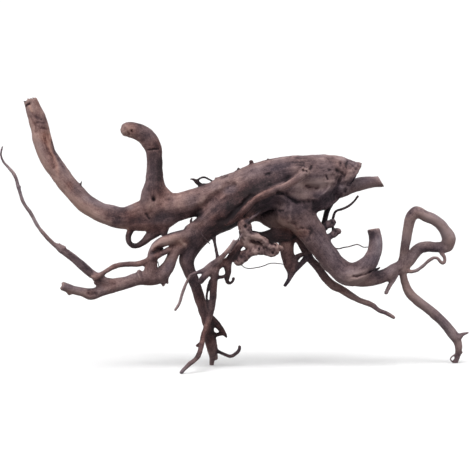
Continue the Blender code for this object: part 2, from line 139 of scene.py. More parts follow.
# %% The left roots
# Roots that leave the trunk to the lower left, with the long feeler
LEFT_ROOTS = {
    "ring_root": [(-101, 4, 150, 5), (-104.2, 2, 142, 3.2), (-106.6, 0, 134, 3), (-104.6, -1, 128, 2.8),
        (-99.5, -1, 126.2, 2.9), (-92.4, -2, 129.4, 3.4), (-86.8, -3, 134.4, 4.2), (-79, -2, 141, 6)],
    "arched_root": [(-45, -8, 137, 7), (-57, -13, 134.5, 6.6), (-67, -16.5, 132, 5.2), (-78, -19, 126, 4.6),
        (-82, -21, 118, 4.6), (-83, -22, 110, 5.6), (-84.5, -23, 102, 6.4), (-86, -24, 95, 5.5)],
    "arch_wall": [(-83, -14, 119, 4), (-78, -12, 122.5, 4), (-73, -12, 123, 3)],
    "slim_root": [(-55, -6, 128, 5), (-62, -13, 124.2, 3), (-69, -19, 120.7, 2.9), (-81, -25, 114.4, 3.2),
        (-95, -21, 108.5, 3.3), (-107, -18, 107.8, 2.9), (-118, -23, 106.3, 2.8), (-127, -31, 102, 2.5),
        (-134, -38, 97.5, 2.6), (-139, -41, 94.8, 3.3), (-142, -42, 93.5, 3.1)],
    "big_left_root": [(-48, -6, 132, 8), (-58, -12, 123, 5.6), (-63.5, -15, 113, 5.6), (-68, -18, 104, 6.8),
        (-77, -21, 95.5, 7.2), (-85, -23, 93.5, 6.7), (-95, -25, 94, 6.9), (-107, -28, 90, 6.4),
        (-120, -31, 85.5, 5.8), (-134, -34, 81, 5.3), (-144, -36, 78, 6), (-153, -38, 80.2, 4.7),
        (-164, -40, 83, 4.6), (-172.5, -41, 86, 4.8)],
    "feeler_web": [(-108, -28, 91, 5), (-121, -31, 89, 5), (-130, -33, 90, 4.6), (-136, -34, 89.8, 3.8),
        (-140, -35, 89.5, 2.4)],
    "feeler_step": [(-171, -44, 123, 3.8), (-174.5, -44, 127, 1.8), (-175.3, -44, 129, 0.9)],
    "root_spur": [(-67, -18, 102, 5), (-71, -19, 91, 3.2), (-72, -19, 85.5, 1.3)],
    "spur_prong": [(-69, -18, 94, 3), (-68, -18, 90.5, 1.6), (-66.8, -18, 88.6, 0.8)],
    "root_nub": [(-163, -40, 82, 3.5), (-166, -41, 78, 2)],
    "root_knob": [(-94, -25, 95, 4.5), (-96, -27, 101, 2.5)],
    "long_feeler": [(-118, -30, 84, 4.5), (-127, -33, 89.5, 4.2), (-141.5, -36, 97.5, 4.4),
        (-154.4, -39, 107.7, 4.4), (-165.1, -42, 117, 4.2), (-173.7, -44, 122.9, 3.9),
        (-177.2, -44.5, 125.7, 3), (-180.7, -45, 128, 2.3), (-188.7, -46, 136, 2.2), (-197.2, -47, 147, 2.1),
        (-203.7, -47, 159, 2), (-210.7, -47, 169.2, 1.9), (-215, -46, 182, 1.8), (-219.9, -45, 197, 1.6),
        (-225.7, -44, 204.2, 1.5), (-231.2, -43, 210.7, 1.4), (-233.3, -42, 217.7, 1.2),
        (-231.5, -41, 225.7, 1)],
    "feeler_thorn": [(-215.7, -46, 182.7, 1.7), (-213.7, -46, 185.7, 0.8)],
}

# %% The front legs
# They cross and part again, one foot behind and one in front
FRONT_LEGS = {
    "back_leg": [(65, 0, 187, 15), (35, -4, 180, 17), (10, -6, 169, 17.4), (-13, -6, 156.6, 16.9),
        (-32.2, -4, 140.3, 12.3), (-44, -4, 124, 8.5), (-48.3, -6, 112, 7.4), (-46.3, -7, 102, 6.3),
        (-41.7, -8, 92, 5.7), (-37.9, -8, 82, 5.4), (-35, -8, 72, 5.4), (-31.2, -7, 61, 5.5),
        (-27.6, -5, 50, 5.8), (-25.8, -1, 41, 5.3), (-24.4, 4, 31, 6.6), (-22.8, 10, 22, 5.6),
        (-23.2, 15, 13, 2.7), (-23.5, 18, 6, 2.1)],
    "back_leg_toe": [(-22, 10, 22, 4), (-19.5, 13, 15, 2.4), (-18.8, 14, 13, 1.9)],
    "dark_strand": [(9, -16, 141, 5.5), (8.5, -21, 132.5, 3.4), (3.5, -23, 125.5, 3.8), (-1, -24, 119, 4),
        (-6, -25, 112, 4), (-14, -26, 107.6, 3.2), (-20, -27, 103, 3.2)],
    "front_leg": [(-18.5, -27, 104, 3.6), (-19.5, -28, 101, 3.8), (-21, -26, 90.5, 3.7),
        (-22.3, -20, 70.4, 3.6), (-25, -15, 55, 3.1), (-29, -15, 45, 2.9), (-32, -24, 35, 2.7),
        (-34, -36, 24.4, 2.6), (-36.8, -45, 16.5, 2.5), (-40.5, -50, 12, 2.4), (-45.8, -54.5, 8, 2.1),
        (-54, -60, -0.6, 1.9)],
    "leg_nub": [(-33, -25, 29, 2.6), (-38.5, -27, 26, 1.4)],
    "side_strand": [(-24, -26, 92, 1.8), (-26.3, -23, 87, 1.5), (-27.9, -20, 79, 1.3), (-28.2, -18, 71, 1.4),
        (-26, -16, 63, 1.8)],
    "strand_thorn": [(-26, -23, 88, 1.4), (-27.8, -23, 85.6, 0.8)],
    "light_strand": [(-0.6, -30, 132.3, 1.3), (-3, -31, 127.6, 1.6), (-8.8, -31, 119.5, 2.1),
        (-15.5, -30, 112.6, 3), (-24, -28, 106.5, 3.6), (-30.4, -26, 102, 2.8), (-37.5, -25, 99.4, 1.9),
        (-44, -24, 97, 1.9), (-47, -24, 92, 1.8), (-52, -25, 80.6, 1.7), (-55.8, -27, 68.3, 1.6),
        (-60, -28, 61.7, 1.4)],
    "strand_fibre": [(9, -26, 139, 1.6), (4.4, -29, 134.2, 0.9), (0.8, -30, 129.6, 0.9),
        (-2.2, -30, 124.5, 1), (-6, -30, 119, 1.5)],
    "strand_stub": [(-22, -28, 104, 3.8), (-29, -28, 97, 3.4), (-35, -29, 90, 3.2)],
    "side_toe": [(-25, -5, 54, 4.2), (-18, -4, 47.3, 3.6), (-14, -1, 42.6, 3.2), (-10.8, 1, 38.4, 2.4),
        (-8.2, 2, 34.2, 1)],
    "toe_link": [(-11.5, 0, 38.6, 2.2), (-17, 1, 37.4, 2.2), (-24, 1, 37.4, 3)],
    "foot_curl": [(-22, 9, 23, 3), (-16, 9, 20, 1.9), (-9.5, 8, 17, 1.8), (-4.5, 8, 15.6, 1.8),
        (0.6, 9, 18, 1.8), (4.2, 10, 22, 1.7), (4.6, 10, 26, 1.4)],
    "hanging_hook": [(-6, -24, 113, 3.9), (-7.4, -24, 106, 3.9), (-6.8, -24, 100, 3.1), (-7.6, -24, 95, 2.6),
        (-8, -24, 91.5, 2.3), (-6.4, -24, 88.9, 1.9), (-3.6, -24, 89.4, 1.6), (-1.9, -24, 91.6, 1.6),
        (-1.3, -24, 94, 1.9)],
    "hook_link": [(-19, -27, 94.5, 2), (-13, -26, 95, 1.6), (-7, -24, 97, 2)],
    "drop_twig": [(-22, -9, 139, 3.5), (-20.6, -15, 131, 1.9), (-19, -21, 123, 1.7), (-17.2, -28, 114, 2)],
}

# %% The knobby roots
# In front, under the middle of the trunk
KNOBBY_ROOTS = {
    "knob_neck": [(6, -12, 160, 8), (8.5, -20, 151, 6.3), (10, -24, 146, 6.8), (12, -25, 139, 5.6),
        (12.5, -24, 132, 5), (14, -23, 126, 5)],
    "knob_twig": [(9, -25, 147, 4), (15.5, -29, 153, 1.7), (21, -30, 157.4, 1.5), (25, -30, 161.3, 1.3)],
    "upper_ridge": [(10, -24, 140, 5), (16, -25.5, 138, 4), (23, -27, 135, 3.8), (29, -28, 131.5, 3.6),
        (34.5, -28, 127, 3.4), (41, -26, 124.5, 4.8)],
    "lower_lobe": [(43, -25, 122, 4), (37, -25, 119, 4.4), (29, -24, 121.5, 3.6), (19, -24, 121.5, 4.6),
        (10, -22, 116.5, 5.4), (2, -22, 110.5, 5.8)],
    "low_lobe_tip": [(36, -25, 119, 3.5), (36.5, -26, 116.3, 2)],
    "pitted_knot": [(16, -24, 124, 4), (22, -27, 120, 3.6)],
    "knob_ear": [(40, -26, 124, 3.6), (44, -23, 123.8, 3), (46, -14, 123.4, 2.4)],
    "neck_knot": [(9, -26, 147, 4.5), (14, -28, 144, 3.6)],
    "hollow_wall": [(11, -20, 129, 4.5), (22, -21, 127.5, 4), (35, -22, 124, 4)],
    "dark_root": [(9, -18, 138, 5.5), (17, -10, 136, 5.5), (29, -5, 134, 6.3), (40, -1, 136.5, 7.5),
        (54, 0, 137, 7)],
    "webbed_root": [(50, 8, 148, 9), (51.5, 5, 135, 8.5), (52, 2, 121, 7.2), (53.5, 0, 108, 5.8),
        (55.6, -2, 98, 3.2), (54, -3, 92.5, 2), (49.5, -4, 86, 1.8)],
    "web_strand": [(74, 8, 116, 4), (66, 3, 108, 2.8), (60, 0, 101.5, 2.6), (55.5, -2, 95, 2.1),
        (50, -4, 86.4, 1.8)],
    "web_bridge": [(76, 9, 119, 3), (68, 4, 118, 1.8), (61.5, 1, 114, 3.4), (58, 0, 108, 4.8),
        (57, -1, 101, 4)],
}

# %% The right roots
# The great bend, the loop and the right leg, and what hangs beside them
RIGHT_ROOTS = {
    "great_bend": [(30, 6, 190, 13), (48, 5, 178, 15), (62, -2, 160, 16.5), (75, -5, 141, 13.4),
        (88.5, -6, 122.3, 12), (101, -7, 106.5, 11.3), (114.5, -8, 98, 12.2), (129, -8, 104, 10),
        (138.3, -6, 117, 7.8), (140.4, -4, 130, 6.8), (138.4, -3, 143, 6.4)],
    "bend_root": [(112, -4, 96, 8), (125, -2, 93.5, 8.5), (137, 2, 94, 8), (150, 8, 96.5, 7),
        (163.5, 14, 105, 6), (170, 17, 106, 4.5)],
    "loop": [(165.5, 15, 101, 5), (168.5, 15, 115, 4.8), (171, 12, 130, 4.8), (173.2, 9, 144, 5.1),
        (176.2, 7, 155.3, 6.1), (181, 6, 159.8, 6), (190, 8, 156, 5.5), (202, 12, 150.3, 5.6),
        (209.5, 15, 142.5, 5.9), (214, 18, 133, 7.2), (212, 20, 125.8, 6.2), (201, 21, 124.9, 5.4),
        (190, 21, 125, 5.8), (182, 20, 121, 6.5), (175.5, 18, 113, 6), (169, 17, 104, 5.3)],
    "right_leg": [(168, 16, 106, 5), (168.3, 17, 98, 4.2), (169.8, 19, 90, 4.1), (174.6, 21, 79.3, 4.6),
        (182.4, 23, 71.3, 4.8), (193.4, 26, 63, 4.8), (202.7, 28, 55.2, 5), (211, 31, 46.8, 5.2),
        (217.6, 33, 38.3, 5.5), (223, 35, 30, 4.4), (224.2, 36, 22, 3.8), (223.8, 37, 17, 3),
        (222.2, 37, 12, 2.8), (220.5, 37, 8, 2.8)],
    "leg_thorn": [(217.5, 33, 35, 4.5), (224.5, 33, 35, 3.4), (228.5, 33, 37.4, 1.9), (234.2, 33, 39, 1)],
    "foot_thorn": [(224, 36, 20.5, 2.4), (228.6, 36, 18.8, 1)],
    "foot_loop": [(222, 36, 17, 1.6), (218.8, 35, 15.8, 1), (216.2, 35, 12.8, 0.95), (217.6, 36, 10.4, 1.1),
        (221, 37, 9.8, 1.6)],
    "crack_splinter": [(134, -3, 98, 3.5), (141, -2, 102, 2), (145.3, -1, 104.6, 0.9)],
    "loop_twig": [(204, 20, 128, 3), (206, 17, 120, 2.1), (210, 15, 113.6, 1.8), (208.5, 13, 109, 1.7),
        (201, 11, 114.3, 1.7), (195, 10, 112, 1.8), (188, 11, 106, 1.8), (179, 13, 100.6, 1.9),
        (168, 16, 101.7, 2.5)],
    "bend_spur": [(163, 14, 103, 4), (160.7, 12, 96, 3), (154, 8, 85, 2.4), (151, 6, 78.5, 1.9)],
    "long_diagonal": [(58, 6, 142, 7), (65, 8, 132, 5), (70.7, 9, 121, 4.5), (75.5, 10, 112.8, 4.3),
        (83.4, 10, 104, 4.3), (90, 10, 94.6, 4.2), (98, 10, 87, 4.2), (106, 9, 82.8, 3.8),
        (121.3, 7, 73.3, 3.4), (138, 5, 66.3, 2.8), (144, 4, 61.7, 2.4), (152, 4, 58.5, 2.2),
        (159.6, 4, 54, 1.8)],
    "thin_drop": [(96, 19, 171, 4), (92.5, 21, 162, 3.1), (89.5, 17, 151, 2.5), (87, 10, 143, 2.6)],
    "curved_twig": [(123.5, 18, 176.4, 1.2), (118, 17, 169.5, 1.4), (112.5, 16, 165.3, 1.5),
        (106, 14, 162.6, 1.5), (101, 12, 160.8, 1.6), (98.4, 9, 155, 1.6), (97.6, 7, 149, 1.6),
        (97.8, 5, 141, 1.6), (95, 1, 134, 1.6), (89, -3, 128, 2)],
    "upper_knob": [(80, -2, 138, 5), (91, 2, 145.5, 3.6), (99, 4, 150.8, 4.2)],
    "lower_knob": [(86, -3, 127, 5), (94.4, 1, 135, 3.4), (103.6, 4, 141, 3.9)],
}

# %% The rootlets
# Small ones on the trunk's top, and the roots on its far side
TRUNK_ROOTLETS = {
    "top_rootlet": [(-20, 6, 184, 3.5), (-29, 6, 186.8, 2.1), (-35, 6, 187.4, 2.2), (-38.6, 5, 190.6, 2.4),
        (-41.5, 4, 192.6, 1.3), (-45, 4, 192.8, 0.9)],
    "top_arc": [(-39, 5, 190.5, 1.6), (-35, 6, 193.6, 1.2), (-31, 7, 194.7, 1.2), (-26, 8, 192.6, 1.2),
        (-20, 8, 189.6, 1.3), (-14, 8, 186, 1.8)],
    "top_twig": [(-6, 3, 190, 2.5), (-13, 3, 193.4, 1.3), (-20, 3, 193.5, 1)],
    "top_nub": [(17, 4, 205, 3.2), (16.3, 4, 208.6, 1.8), (16, 4, 211, 2.3)],
    "nub_by_neck": [(-11.5, 3, 192, 2.4), (-13.5, 3, 195.7, 1)],
    "nub_on_back": [(3, 3, 200, 2.4), (3.6, 3, 204.3, 1)],
    "nub_by_scar": [(50.5, 4, 211, 2.4), (52, 4, 214.7, 1)],
    "small_nub": [(32, 4, 209, 2.6), (33.2, 4, 213.2, 1.5)],
    "back_stub": [(20, 12, 186, 9), (26, 32, 183, 6.5), (30, 46, 178, 4.5)],
    "back_root": [(44, 16, 162, 10), (50, 33, 149, 6.5), (51, 43, 134, 5), (53, 49, 120, 3.4),
        (54, 52, 106, 1.6)],
    "far_stub": [(-40, 4, 170, 10), (-54, 24, 167, 6.5), (-66, 37, 164, 4.8), (-76, 45, 161, 3.6)],
}

# %% All the routes
GROUPS = (TRUNK, ARMS, LEFT_ROOTS, FRONT_LEGS, KNOBBY_ROOTS, RIGHT_ROOTS, TRUNK_ROOTLETS)
routes = {name: route for group in GROUPS for name, route in group.items()}
print("branches:", len(routes))

# %% [markdown]
# ## Drawing a branch
#
# A branch could be a stretched cylinder or a chain of skin joints. A curve is the quickest by hand: add
# one, put its two points at the start of the route, then extrude its end from point to point and set
# the thickness of each. Automatic handles make it smooth, and a round bevel gives it its body.

# %% Draw a branch
def draw(name, route, sides=5):
    """One branch as a curve with a round body, extruded along its route."""
    spots = [place(*point[:3]) for point in route]
    radii = [point[3] for point in route]
    bpy.ops.object.select_all(action="DESELECT")
    bpy.ops.curve.primitive_bezier_curve_add(enter_editmode=True)
    branch = bpy.context.object
    branch.name = name
    for point, spot, radius in zip(branch.data.splines[0].bezier_points, spots, radii):
        point.co, point.handle_left, point.handle_right = spot, spot, spot
        point.radius = radius
    bpy.ops.curve.select_all(action="DESELECT")
    bpy.ops.curve.de_select_last()
    for before, spot, radius in zip(spots[1:], spots[2:], radii[2:]):
        bpy.ops.curve.extrude_move(TRANSFORM_OT_translate={"value": spot - before})
        bpy.ops.curve.radius_set(radius=radius)
    bpy.ops.curve.select_all(action="SELECT")
    bpy.ops.curve.handle_type_set(type="AUTOMATIC")
    bpy.ops.object.mode_set(mode="OBJECT")
    branch.data.bevel_depth = MM
    branch.data.bevel_resolution = sides
    branch.data.resolution_u = 8
    branch.data.use_fill_caps = True
    return branch


# %% [markdown]
# ## Blunt tips
#
# A root that died back ends in a blunt, rounded tip. Most routes get one more point for that, a little
# further on and thinner. Ends that were torn off or sawn off keep their full width.

# %% Grow every branch
# branch, which end, how far its fibres stand out, mm
TORN_ENDS = (("left_arm", 0, 3.0), ("front_rib", 0, 1.8), ("torn_end", -1, 2.4), ("right_stub", -1, 1.6),
             ("big_left_root", -1, 1.6), ("far_stub", -1, 2.0), ("back_stub", -1, 2.0),
             ("root_spur", -1, 1.4), ("slim_root", -1, 1.2), ("upper_strand", -1, 2.0))
CUT_ENDS = (("great_bend", -1),)
FULL_ENDS = {branch for branch, which, *_ in TORN_ENDS + CUT_ENDS if which == -1}
TIP_REACH, TIP_GIRTH = 0.45, 0.62       # shares of the last point's radius


def blunt(route):
    """The route with a rounded tip beyond its last point."""
    before, last = Vector(route[-2]), Vector(route[-1])
    way = Vector((last - before)[:3]).normalized() * last[3]
    return route + [(*(Vector(last[:3]) + way * TIP_REACH), last[3] * TIP_GIRTH)]


for name, route in routes.items():
    if name not in FULL_ENDS:
        routes[name] = blunt(route)
branches = [draw(name, route) for name, route in routes.items()]
print("blunt tips:", len(routes) - len(FULL_ENDS))

# %% [markdown]
# ## What the grain will need to know
#
# Before the curves turn into a mesh, stations are noted along each of them: where it is, which way it
# runs there, how thick it is, and whose it is. A place on the finished skin asks the stations round it
# for the direction of its grain and for the thickness of the wood under it.

# %% Stations along the branches
STATION_GAP = 2.0                       # mm


def walk(branch):
    """Places, directions and radii along a branch, in mm."""
    spots, radii = [], []
    points = branch.data.splines[0].bezier_points
    for a, b in zip(points, points[1:]):
        steps = max(2, round((b.co - a.co).length / (STATION_GAP * MM)))
        piece = interpolate_bezier(a.co, a.handle_right, b.handle_left, b.co, steps + 1)
        spots += [spot / MM for spot in piece[:-1]]
        radii += list(np.linspace(a.radius, b.radius, steps + 1)[:-1])
    spots, radii = np.array([*spots, points[-1].co / MM]), np.array([*radii, points[-1].radius])
    ways = np.gradient(spots, axis=0)
    return spots, ways / np.linalg.norm(ways, axis=1, keepdims=True), radii


walks = [walk(branch) for branch in branches]
owner_names = list(routes)
print("stations:", sum(len(radii) for _, _, radii in walks))

# %% [markdown]
# ## One skin
#
# Roots fuse where they touch, with a soft fillet and no seam. A Boolean union leaves a hard crease, so
# the branches are joined and a voxel remesh lays one even skin over them. The thinnest root is little
# thicker than two voxels.

# %% Curves into one mesh
def merged(curves, name):
    """Drawn branches turned into one mesh object."""
    bpy.ops.object.select_all(action="DESELECT")
    for curve in curves:
        curve.select_set(True)
    bpy.context.view_layer.objects.active = curves[0]
    bpy.ops.object.convert(target="MESH")
    bpy.ops.object.join()
    whole = bpy.context.object
    whole.name = name
    return whole


# %% Modifiers, as in their panel
def finish_with(piece, kind, **settings):
    """Add a modifier, set it and apply it."""
    bpy.context.view_layer.objects.active = piece
    bpy.ops.object.modifier_add(type=kind)
    modifier = piece.modifiers[-1]
    for setting, value in settings.items():
        setattr(modifier, setting, value)
    bpy.ops.object.modifier_apply(modifier=modifier.name)


# %% Lay the skin
SKIN_VOXEL = 0.9 * MM

root = merged(branches, "weathered_root")
finish_with(root, "REMESH", mode="VOXEL", voxel_size=SKIN_VOXEL)
print("skin points:", len(root.data.vertices))


# %% Read and write the skin
def read(mesh, what):
    """Three numbers of each point: its place, "co", or its outward direction, "normal"."""
    flat = np.empty(len(mesh.vertices) * 3, np.float32)
    mesh.vertices.foreach_get(what, flat)
    return flat.reshape(-1, 3)


def spots_of(mesh):
    """The places of a mesh's points, in mm."""
    return read(mesh, "co") / MM


def set_spots(mesh, spots):
    """Move the points of a mesh to these places, in mm."""
    mesh.vertices.foreach_set("co", (spots * MM).astype(np.float32).ravel())
    mesh.update()


# %% Ask the stations
SHARING = 1.6                           # mm: how softly one branch's grain turns into the next's
EARSHOT = 8.0                           # mm: further than this off a branch's skin it has no say
GAP_LIMITS = (-25, 40)                  # mm: gaps beyond them would give shares too large or too small
NEXT_TO_NOTHING, FAR = 1e-12, 1e9
FIRST_GUESS, GUESSES = (0.61, 0.52, 0.60), 8


def sense(spots):
    """For each place: whose wood it is, the way the grain runs, and how thick the wood is."""
    spread = np.full((len(spots), 3, 3), NEXT_TO_NOTHING)
    weight, girths = np.full(len(spots), NEXT_TO_NOTHING), np.zeros(len(spots))
    owners, closest = np.zeros(len(spots), int), np.full(len(spots), FAR)
    for owner, (line, ways, radii) in enumerate(walks):
        room = radii.max() + EARSHOT
        here = np.flatnonzero(((spots > line.min(0) - room) & (spots < line.max(0) + room)).all(1))
        if not len(here):
            continue
        asked, line = spots[here].astype(np.float32), line.astype(np.float32)
        apart = (asked ** 2).sum(1)[:, None] - 2 * asked @ line.T + (line ** 2).sum(1)
        gaps = np.sqrt(np.maximum(apart, 0)) - radii.astype(np.float32)
        near = gaps.argmin(1)
        gap = gaps[np.arange(len(here)), near]
        share = np.exp(-np.clip(gap, *GAP_LIMITS) / SHARING)
        way = ways[near]
        spread[here] += share[:, None, None] * way[:, :, None] * way[:, None, :]
        weight[here] += share
        girths[here] += share * radii[near]
        nearer = gap < closest[here]
        owners[here[nearer]], closest[here[nearer]] = owner, gap[nearer]
    # a direction and its opposite count as one, so the grain is the longest axis of what was gathered
    runs = np.einsum("nij,j->ni", spread, FIRST_GUESS)
    for _ in range(GUESSES):
        runs = np.einsum("nij,nj->ni", spread, runs)
        runs /= np.linalg.norm(runs, axis=1, keepdims=True) + 1e-30
    return owners, runs.astype(np.float32), (girths / weight).astype(np.float32)


def belonging(owners, names):
    """1 where the wood is a named branch's, and 0 elsewhere."""
    return np.isin(owners, [owner_names.index(name) for name in names]).astype(float)


# %% [markdown]
# ## Fillets at the forks
#
# Growing wood fills the crease of a fork. A plain smooth would thin the twigs and shrink the trunk, so
# the skin is only let out: where a point lies below its neighbours, in a crease, it moves out to them,
# and where the skin is round it stays. Many small rounds make a broad fillet on stout wood. The rib only
# lies on the trunk, so its creases stay sharp.

# %% Neighbours
def neighbours(mesh):
    """For each point of a mesh, ask(values) gives the mean of its neighbours' values."""
    ends = np.empty(len(mesh.edges) * 2, np.int32)
    mesh.edges.foreach_get("vertices", ends)
    a, b = ends.reshape(-1, 2).T
    here, there = np.concatenate([a, b]), np.concatenate([b, a])
    size = len(mesh.vertices)
    count = np.maximum(np.bincount(here, minlength=size), 1)

    def ask(values):
        """The mean over each point's neighbours, for a number or a vector at each point."""
        if values.ndim == 1:
            return np.bincount(here, values[there], size) / count
        return np.stack([np.bincount(here, line[there], size) / count for line in values.T], axis=1)
    return ask


def softened(values, ask, rounds):
    """Values that run into each other: each round takes the neighbours' mean."""
    for _ in range(rounds):
        values = ask(values)
    return values


# %% Fill the forks
SLIM_GIRTH, STOUT_GIRTH = 2.0, 10.0     # mm
FILL_ROUNDS, ROUNDS_PER_NORMAL = 70, 10
LAID_ON, LAID_ON_ROUNDS, LAID_ON_GAIN = ("front_rib",), 5, 4

finish_with(root, "SMOOTH", factor=0.5, iterations=2)
owners, runs, girths = sense(spots_of(root.data))
ask = neighbours(root.data)
laid_on = softened(belonging(owners, LAID_ON), ask, LAID_ON_ROUNDS)
softness = np.clip((girths - SLIM_GIRTH) / (STOUT_GIRTH - SLIM_GIRTH), 0, 1)
softness *= 1 - np.clip(laid_on * LAID_ON_GAIN, 0, 1)
before = spots_of(root.data)
spots = before.astype(np.float64)
for number in range(FILL_ROUNDS):
    if number % ROUNDS_PER_NORMAL == 0:
        set_spots(root.data, spots)
        normals = read(root.data, "normal")
    out = ((ask(spots) - spots) * normals).sum(1)
    spots += normals * (np.maximum(out, 0) * softness)[:, None]
set_spots(root.data, spots)
finish_with(root, "SMOOTH", factor=0.5, iterations=2)
print("deepest fillet, mm:", round(float(np.linalg.norm(spots - before, axis=1).max()), 1))

# %% [markdown]
# ## Relief
#
# Old wood is never smooth. Low lumps come first, then long ridges that follow each branch, then the
# fine grain. Each is a field of soft random values in space. The lumps read it as it is. The ridges
# and the grain read it combed: averaged along the way the grain runs, so it streaks that way, flows
# round the forks and never breaks at a seam. A texture on the faces could not do that.

# %% Random values in space
rng = np.random.default_rng(7)
shuffled = rng.permutation(256)
random_values = rng.uniform(-1, 1, 256).astype(np.float32)
ASKEW = np.array(Euler((0.7, 0.5, 0.9)).to_matrix())     # turned, so no rows of cells run along the axes
COMB_GAIN = 1.6                                          # gives combed values back their strength


def speckle(spots, cell, elsewhere=0):
    """Soft random values from -1 to 1, with lumps about a cell wide. Elsewhere they differ, all in mm."""
    grid = (spots + elsewhere) @ ASKEW / cell
    corner = np.floor(grid).astype(np.int64)
    part = (grid - corner).astype(np.float32)
    part = part * part * (3 - 2 * part)
    total = np.zeros(len(spots), np.float32)
    for step in itertools.product((0, 1), repeat=3):
        x, y, z = ((corner + step) & 255).T
        value = random_values[shuffled[(shuffled[(shuffled[x] + y) & 255] + z) & 255]]
        total += value * np.prod(np.where(step, part, 1 - part), axis=1)
    return total


def combed(spots, runs, cell, reach):
    """The same, averaged along the grain over a reach to each side."""
    steps = np.arange(-round(reach / cell), round(reach / cell) + 1) * cell
    total = sum(speckle(spots + runs * step, cell) for step in steps)
    return total / math.sqrt(len(steps)) * COMB_GAIN


# %% Along the surface
def lay_along(ways, normals):
    """Turn directions to lie in the surface."""
    flat = ways - normals * (ways * normals).sum(1)[:, None]
    return flat / (np.linalg.norm(flat, axis=1, keepdims=True) + 1e-6)


def survey(mesh):
    """The places and normals of a skin, whose wood each is, its grain in the surface, and its girth."""
    spots, normals = spots_of(mesh), read(mesh, "normal")
    owners, runs, girths = sense(spots)
    return spots, normals, owners, lay_along(runs, normals), girths


# %% Raise the relief
LUMPS = ((24.0, 0.08), (11.0, 0.055), (6.0, 0.028), (3.4, 0.012))   # cell, mm; height, a share of the girth
RIDGES = ((5.0, 36.0, 0.014), (2.6, 22.0, 0.006))    # cell and reach, mm; height, a share of the girth
GRAIN_CELL, GRAIN_REACH, GRAIN_HEIGHT = 1.3, 12.0, 0.035             # mm
KNOTTY = ((8.0, 0.28), (3.8, 0.16))                  # cell and height, mm, for slender roots
GNARLS = ((5.0, 0.9), (2.8, 0.55), (1.7, 0.3))       # the same, for gnarly ones
MOST_GIRTH, GRAINY_GIRTH, SLENDER_GIRTH, SLENDER_FADE = 11.0, 5.0, 8.0, 3.0  # mm
LEAST_SHARE = 0.3                                    # of a relief that fades on thin wood
GNARLY_ROUNDS = 8
SMOOTH_ONES = ("webbed_root", "web_strand", "web_bridge", "dark_root", "knob_twig")
GNARLY = [name for name in KNOBBY_ROOTS if name not in SMOOTH_ONES]
GNARLY += ["root_spur", "foot_thorn", "upper_knob", "lower_knob"]

spots, normals, owners, runs, girths = survey(root.data)
bulk = np.minimum(girths, MOST_GIRTH)
lift = sum(height * bulk * speckle(spots, cell) for cell, height in LUMPS)
lift += sum(height * bulk * combed(spots, runs, cell, reach) for cell, reach, height in RIDGES)
grainy = np.clip(bulk / GRAINY_GIRTH, LEAST_SHARE, 1)
lift += GRAIN_HEIGHT * grainy * combed(spots, runs, GRAIN_CELL, GRAIN_REACH)
slender = np.clip((SLENDER_GIRTH - girths) / SLENDER_FADE, 0, 1)
slender *= np.clip(girths / SLIM_GIRTH, LEAST_SHARE, 1)
lift += slender * sum(height * speckle(spots, cell, 60) for cell, height in KNOTTY)
gnarly = softened(belonging(owners, GNARLY), neighbours(root.data), GNARLY_ROUNDS)
lift += gnarly * sum(height * speckle(spots, cell) for cell, height in GNARLS)
spots += normals * lift[:, None]
set_spots(root.data, spots)
print("relief, mm:", round(float(lift.min()), 2), "to", round(float(lift.max()), 2))

# %% [markdown]
# ## Pits, cracks and hollows
#
# Some marks make this root what it is: the crevice down its torn end, the hollow under it, the crack
# beside the bend, pits and knots. They are pressed in as with a sculpting brush, each along a stroke
# on the side the eye sees, as wide and as deep as given.

# %% Strokes as the eye sees them
WOBBLE = ((5.0, 0.9), (2.0, 0.4))       # cell and shift in mm


def as_seen(spots):
    """Across and rise of places, then their depth, in mm."""
    across, depth = spots[:, 0] + MIDDLE[0], spots[:, 1] + MIDDLE[1]
    rise = spots[:, 2] * math.cos(SIGHT_TILT) + depth * math.sin(SIGHT_TILT) + FLOOR_RISE
    return np.stack([across, rise], axis=1), depth


def on_stroke(seen, stroke, width):
    """1 on a stroke, and less and less beside it."""
    nearest = np.full(len(seen), FAR)
    stroke = np.array(stroke if len(stroke) > 1 else stroke * 2, float)
    for a, b in zip(stroke, stroke[1:]):
        along = b - a
        share = np.clip(((seen - a) @ along) / max(along @ along, 1e-9), 0, 1)
        nearest = np.minimum(nearest, np.linalg.norm(seen - a - share[:, None] * along, axis=1))
    return np.exp(-(nearest / width) ** 2)


def unsteady(seen, spots):
    """Seen places shifted at random, so that a stroke across them gets ragged edges."""
    for cell, shift in WOBBLE:
        seen = seen + shift * np.stack([speckle(spots, cell, 20), speckle(spots, cell, -20)], axis=1)
    return seen
